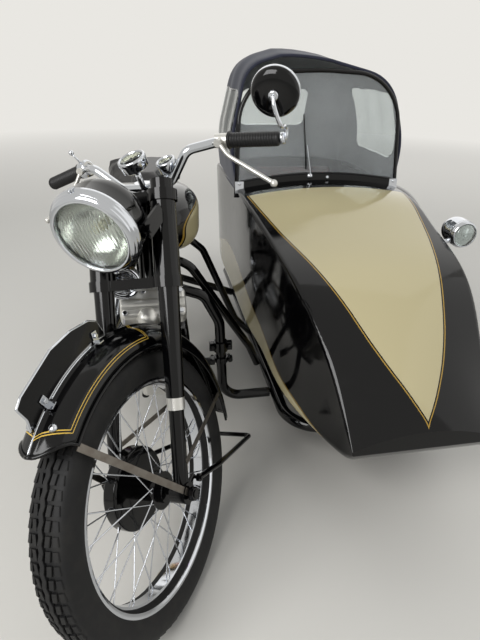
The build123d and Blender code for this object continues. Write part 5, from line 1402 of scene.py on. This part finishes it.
armClamp = {"top": (196.0, 500.0, 470.0), "foot": (208.0, 500.0, 188.0), "bore": 16.2, "wall": 6.0,
            # place along the run, height
            "rings": ((0.3, 34.0), (0.47, 18.0)), "earOut": 27.0, "ear": (18, 16), "bolt": (5.0, 19.0),
            "nutAt": 9.0, "nut": (15, 8)}


def makeArmClamp():
    bm = bmesh.new()
    top, foot = at(*armClamp["top"]), at(*armClamp["foot"])
    down = (foot - top).normalized()
    bore, outer = armClamp["bore"], armClamp["bore"] + armClamp["wall"]
    bolt, reach = armClamp["bolt"]
    for share, height in armClamp["rings"]:
        middle = top.lerp(foot, share)
        around = framed(middle - down * height / 2000, down, (0, 1, 0))
        addTurned(bm, around, ((bore, 0), (outer, 0), (outer, height), (bore, height)), 32, True)
        for side in (-1, 1):
            ear = middle + metres(side * armClamp["earOut"], 0, 0)
            addBox(bm, Matrix.Translation(ear), (*armClamp["ear"], height - 6))
            addRod(bm, ear + metres(0, -reach, 0), ear + metres(0, reach, 0), bolt, 16)
            addHex(bm, framed(ear + metres(0, -armClamp["nutAt"], 0), (0, -1, 0)), *armClamp["nut"])
    clamp = softened(makeObject("armClamp", bm, "blackStoveEnamel"), 0.8)
    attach(clamp, "root")


makeArmClamp()

# Rear chain: bushed links along the CAD's own chain line

chain = {"x": 49.5, "front": (815.0, 335.0, 36.0), "rear": (1400.0, 325.0, 107.0), "pitch": 15.875,
         "plateThick": 1.6, "plateHigh": 6.6, "waist": 0.86, "endRadius": 6.4, "innerX": 4.4, "outerX": 6.3,
         "pin": (4.2, 8.2)}


def chainPath():
    # tangents to two circles, walked once round
    (y1, z1, r1), (y2, z2, r2) = chain["front"], chain["rear"]
    tilt = math.atan2(z2 - z1, y2 - y1)
    spread = math.asin((r2 - r1) / math.hypot(y2 - y1, z2 - z1))
    upper, lower = tilt + math.pi / 2 + spread, tilt - math.pi / 2 - spread
    points = []
    for y, z, radius, start, end, steps in ((y1, z1, r1, upper, lower + math.tau, 24),
                                            (y2, z2, r2, lower, upper, 60)):
        for i in range(steps + 1):
            turn = start + (end - start) * i / steps
            points.append(Vector((y + radius * math.cos(turn), z + radius * math.sin(turn))))
    points.append(points[0])
    return points


def linkOutline():
    # a link's plate: two round ends with a slight waist
    shape = []
    for i in range(16):
        c, s = math.cos(math.tau * i / 16), math.sin(math.tau * i / 16)
        end = chain["pitch"] / 2 * (1 if c > 0 else -1) * (abs(c) > 0.3)
        high = chain["plateHigh"] * (chain["waist"] if abs(c) < 0.5 else 1.0)
        shape.append((end + chain["endRadius"] * c, high * s))
    return shape


def makeChain():
    path = chainPath()
    length = sum((b - a).length for a, b in zip(path, path[1:]))
    pins = spacedEvenly(path, round(length / chain["pitch"] / 2) * 2)
    radius, reach = chain["pin"]
    bm = bmesh.new()
    for number, (a, b) in enumerate(zip(pins, pins[1:])):
        middle = (a + b) / 2
        turn = Matrix.Rotation(math.atan2(b.y - a.y, b.x - a.x), 4, "X")
        for side in (-1, 1):
            x = chain["x"] + side * (chain["innerX"] if number % 2 else chain["outerX"])
            place = Matrix.Translation(at(x, middle.x, middle.y)) @ turn
            addRings(bm, [[place @ metres(w, u, v) for u, v in linkOutline()]
                          for w in (-chain["plateThick"] / 2, chain["plateThick"] / 2)], capped=True)
        addRod(bm, at(chain["x"] - reach, a.x, a.y), at(chain["x"] + reach, a.x, a.y), radius, 10)
    links = makeObject("rearChainLinks", bm, "dullSteel", smooth=False)
    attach(links, "root")
    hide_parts("rear_chain")


makeChain()

# Lamps and horn: the side lamp's glass, the rear lens, and the horn's pierced front

fittings = (
    # name, finish, place, facing along Y, steps round, endless, profile
    ("sideLampGlass", "lampGlass", (1020, 579, 690), -1, 48, False,
     ((0, 1), (36, 1), (38, -2), (34, 6), (24, 10.5), (12, 12.6), (0, 13))),
    ("sideLampRing", "chromePlate", (1020, 579, 690), -1, 56, True,
     ((38, -4), (43, -3), (45.6, -9), (46, -14), (44, -4), (41, 2), (38.4, 3), (37.4, 1))),
    ("rearLampLens", "rubyGlass", (0, 1794, 570), 1, 48, False,
     ((0, 0), (29, 0), (29, 3), (26, 7), (14, 10), (0, 11))),
    ("rearLampRing", "chromePlate", (0, 1794, 570), 1, 48, True,
     ((29, -4), (33, -4), (33, 2), (31, 4), (29, 3))),
    ("hornRing", "chromePlate", (-72, 366, 674), -1, 56, False,
     ((44, -10), (45, 0), (44, 4), (40, 6), (36, 4), (34, 1), (30, 1))),
)
hornGrille = {"place": (-72, 366, 674), "dish": ((34, 0.5), (30, 0.6), (24, 2), (12, 4), (0, 5)), "bars": 7,
              "pitch": 8.0, "radius": 30.0, "lift": 5.2, "bar": (2.6, 2.2)}


def makeHornGrille():
    matrix = framed(at(*hornGrille["place"]), (0, -1, 0))
    bm = bmesh.new()
    addTurned(bm, matrix, hornGrille["dish"], 48)
    for number in range(hornGrille["bars"]):
        height = (number - (hornGrille["bars"] - 1) / 2) * hornGrille["pitch"]
        half = math.sqrt(hornGrille["radius"] ** 2 - height ** 2)
        addBox(bm, matrix @ Matrix.Translation(metres(0, height, hornGrille["lift"])),
               (2 * half, *hornGrille["bar"]))
    grille = softened(makeObject("hornGrille", bm, "chromePlate"), 0.4)
    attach(grille, "root")


for name, finishName, place, facing, steps, endless, profile in fittings:
    piece = turnedPiece(name, finishName, framed(at(*place), (0, facing, 0)), profile, steps, endless)
    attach(piece, "root")
makeHornGrille()
print("fittings ready")

# Studio: pale floor, soft lamps, and a camera placed as the photograph's was

studio = {"floor": "#cfccc5", "floorSize": 30.0, "fadeStart": 3.0, "fadeEnd": 8.0, "seen": "#e9e7e2",
          "worldStrength": 0.6, "sky": ((0.0, "#3c3d3f"), (0.3, "#3c3d3f"), (0.62, "#eef2f6"))}


def seenDirectly(tree):
    # 1 where the eye, glass or metal looks at the background, 0 where it lights the object
    path = addNode(tree, "ShaderNodeLightPath")
    clear = path.outputs["Is Camera Ray"]
    for kind in ("Is Transmission Ray", "Is Glossy Ray"):
        clear = addNode(tree, "ShaderNodeMath", {"operation": "MAXIMUM"}, {0: clear, 1: path.outputs[kind]})
    return clear


def makeFloor():
    mesh = bpy.data.meshes.new("studioFloor")
    half = studio["floorSize"] / 2
    mesh.from_pydata([(-half, -half, 0), (half, -half, 0), (half, half, 0), (-half, half, 0)], [],
                     [(0, 1, 2, 3)])
    floor = newObject("studioFloor", mesh)
    material, tree, shader, coords = startMaterial("paleFloorPaint", {"Base Color": studio["floor"],
                                                                      "Roughness": 0.6})
    distance = addNode(tree, "ShaderNodeVectorMath", {"operation": "LENGTH"}, {0: coords})
    fade = addNode(tree, "ShaderNodeMapRange", {"From Min": studio["fadeStart"], "From Max": studio["fadeEnd"]},
                   {"Value": distance.outputs["Value"]})
    share = addNode(tree, "ShaderNodeMath", {"operation": "MULTIPLY"}, {0: fade, 1: seenDirectly(tree)})
    glow = addNode(tree, "ShaderNodeEmission", {"Color": colour(studio["seen"])})
    mix = addNode(tree, "ShaderNodeMixShader", None, {0: share, 1: shader, 2: glow})
    connect(tree, tree.nodes["Material Output"], {"Surface": mix})
    mesh.materials.append(material)


def makeWorld():
    world = bpy.data.worlds.new("paleStudio")
    bpy.context.scene.world = world
    world.use_nodes = True
    tree = world.node_tree
    lighting = tree.nodes["Background"]
    lighting.inputs["Strength"].default_value = studio["worldStrength"]
    direction = addNode(tree, "ShaderNodeSeparateXYZ", None,
                        {0: addNode(tree, "ShaderNodeTexCoord").outputs["Generated"]})
    sky = addNode(tree, "ShaderNodeValToRGB", None, {"Fac": direction.outputs["Z"]})
    setStops(sky, studio["sky"])
    connect(tree, lighting, {"Color": sky})
    seen = addNode(tree, "ShaderNodeBackground", {"Color": colour(studio["seen"]), "Strength": 1.0})
    mix = addNode(tree, "ShaderNodeMixShader", None, {0: seenDirectly(tree), 1: lighting, 2: seen})
    connect(tree, tree.nodes["World Output"], {"Surface": mix})


lamps = {
    # name: place, aimed at, side in metres, watts
    "keySoftbox": ((-2.4, -2.4, 2.6), (0.0, 0.0, 0.5), 2.0, 105.0),
    "rearSoftbox": ((1.2, 3.4, 3.6), (0.0, 0.0, 0.6), 6.4, 84.0),
    "sideSoftbox": ((3.6, -1.6, 2.4), (0.3, 0.0, 0.5), 5.0, 38.0),
}


def makeLamps():
    for name, (place, target, side, watts) in lamps.items():
        data = bpy.data.lights.new(name, "AREA")
        data.shape = "SQUARE"
        data.size = side
        data.energy = watts
        lamp = newObject(name, data)
        lamp.location = place
        lamp.rotation_euler = (Vector(target) - Vector(place)).to_track_quat("-Z", "Y").to_euler()


camera = {"place": (8.19, -826.57, 1196.38), "yawDeg": 10.76, "pitchDeg": 28.20, "rollDeg": 1.34,
          "lensMm": 27.80, "sensorMm": 36.0}


def makeCamera():
    yaw, pitch, roll = (math.radians(camera[key]) for key in ("yawDeg", "pitchDeg", "rollDeg"))
    forward = Vector((math.sin(yaw) * math.cos(pitch), math.cos(yaw) * math.cos(pitch), -math.sin(pitch)))
    level = Vector((math.cos(yaw), -math.sin(yaw), 0))
    up = level.cross(forward)
    right = level * math.cos(roll) + up * math.sin(roll)
    up = up * math.cos(roll) - level * math.sin(roll)
    data = bpy.data.cameras.new("camera")
    data.lens = camera["lensMm"]
    data.sensor_width = camera["sensorMm"]
    view = newObject("camera", data)
    turn = Matrix((right, up, -forward)).transposed().to_4x4()
    view.matrix_world = Matrix.Translation(at(*camera["place"])) @ turn
    bpy.context.scene.camera = view


makeFloor()
makeWorld()
makeLamps()
makeCamera()
bpy.context.scene.view_settings.view_transform = "Standard"
print("studio ready")
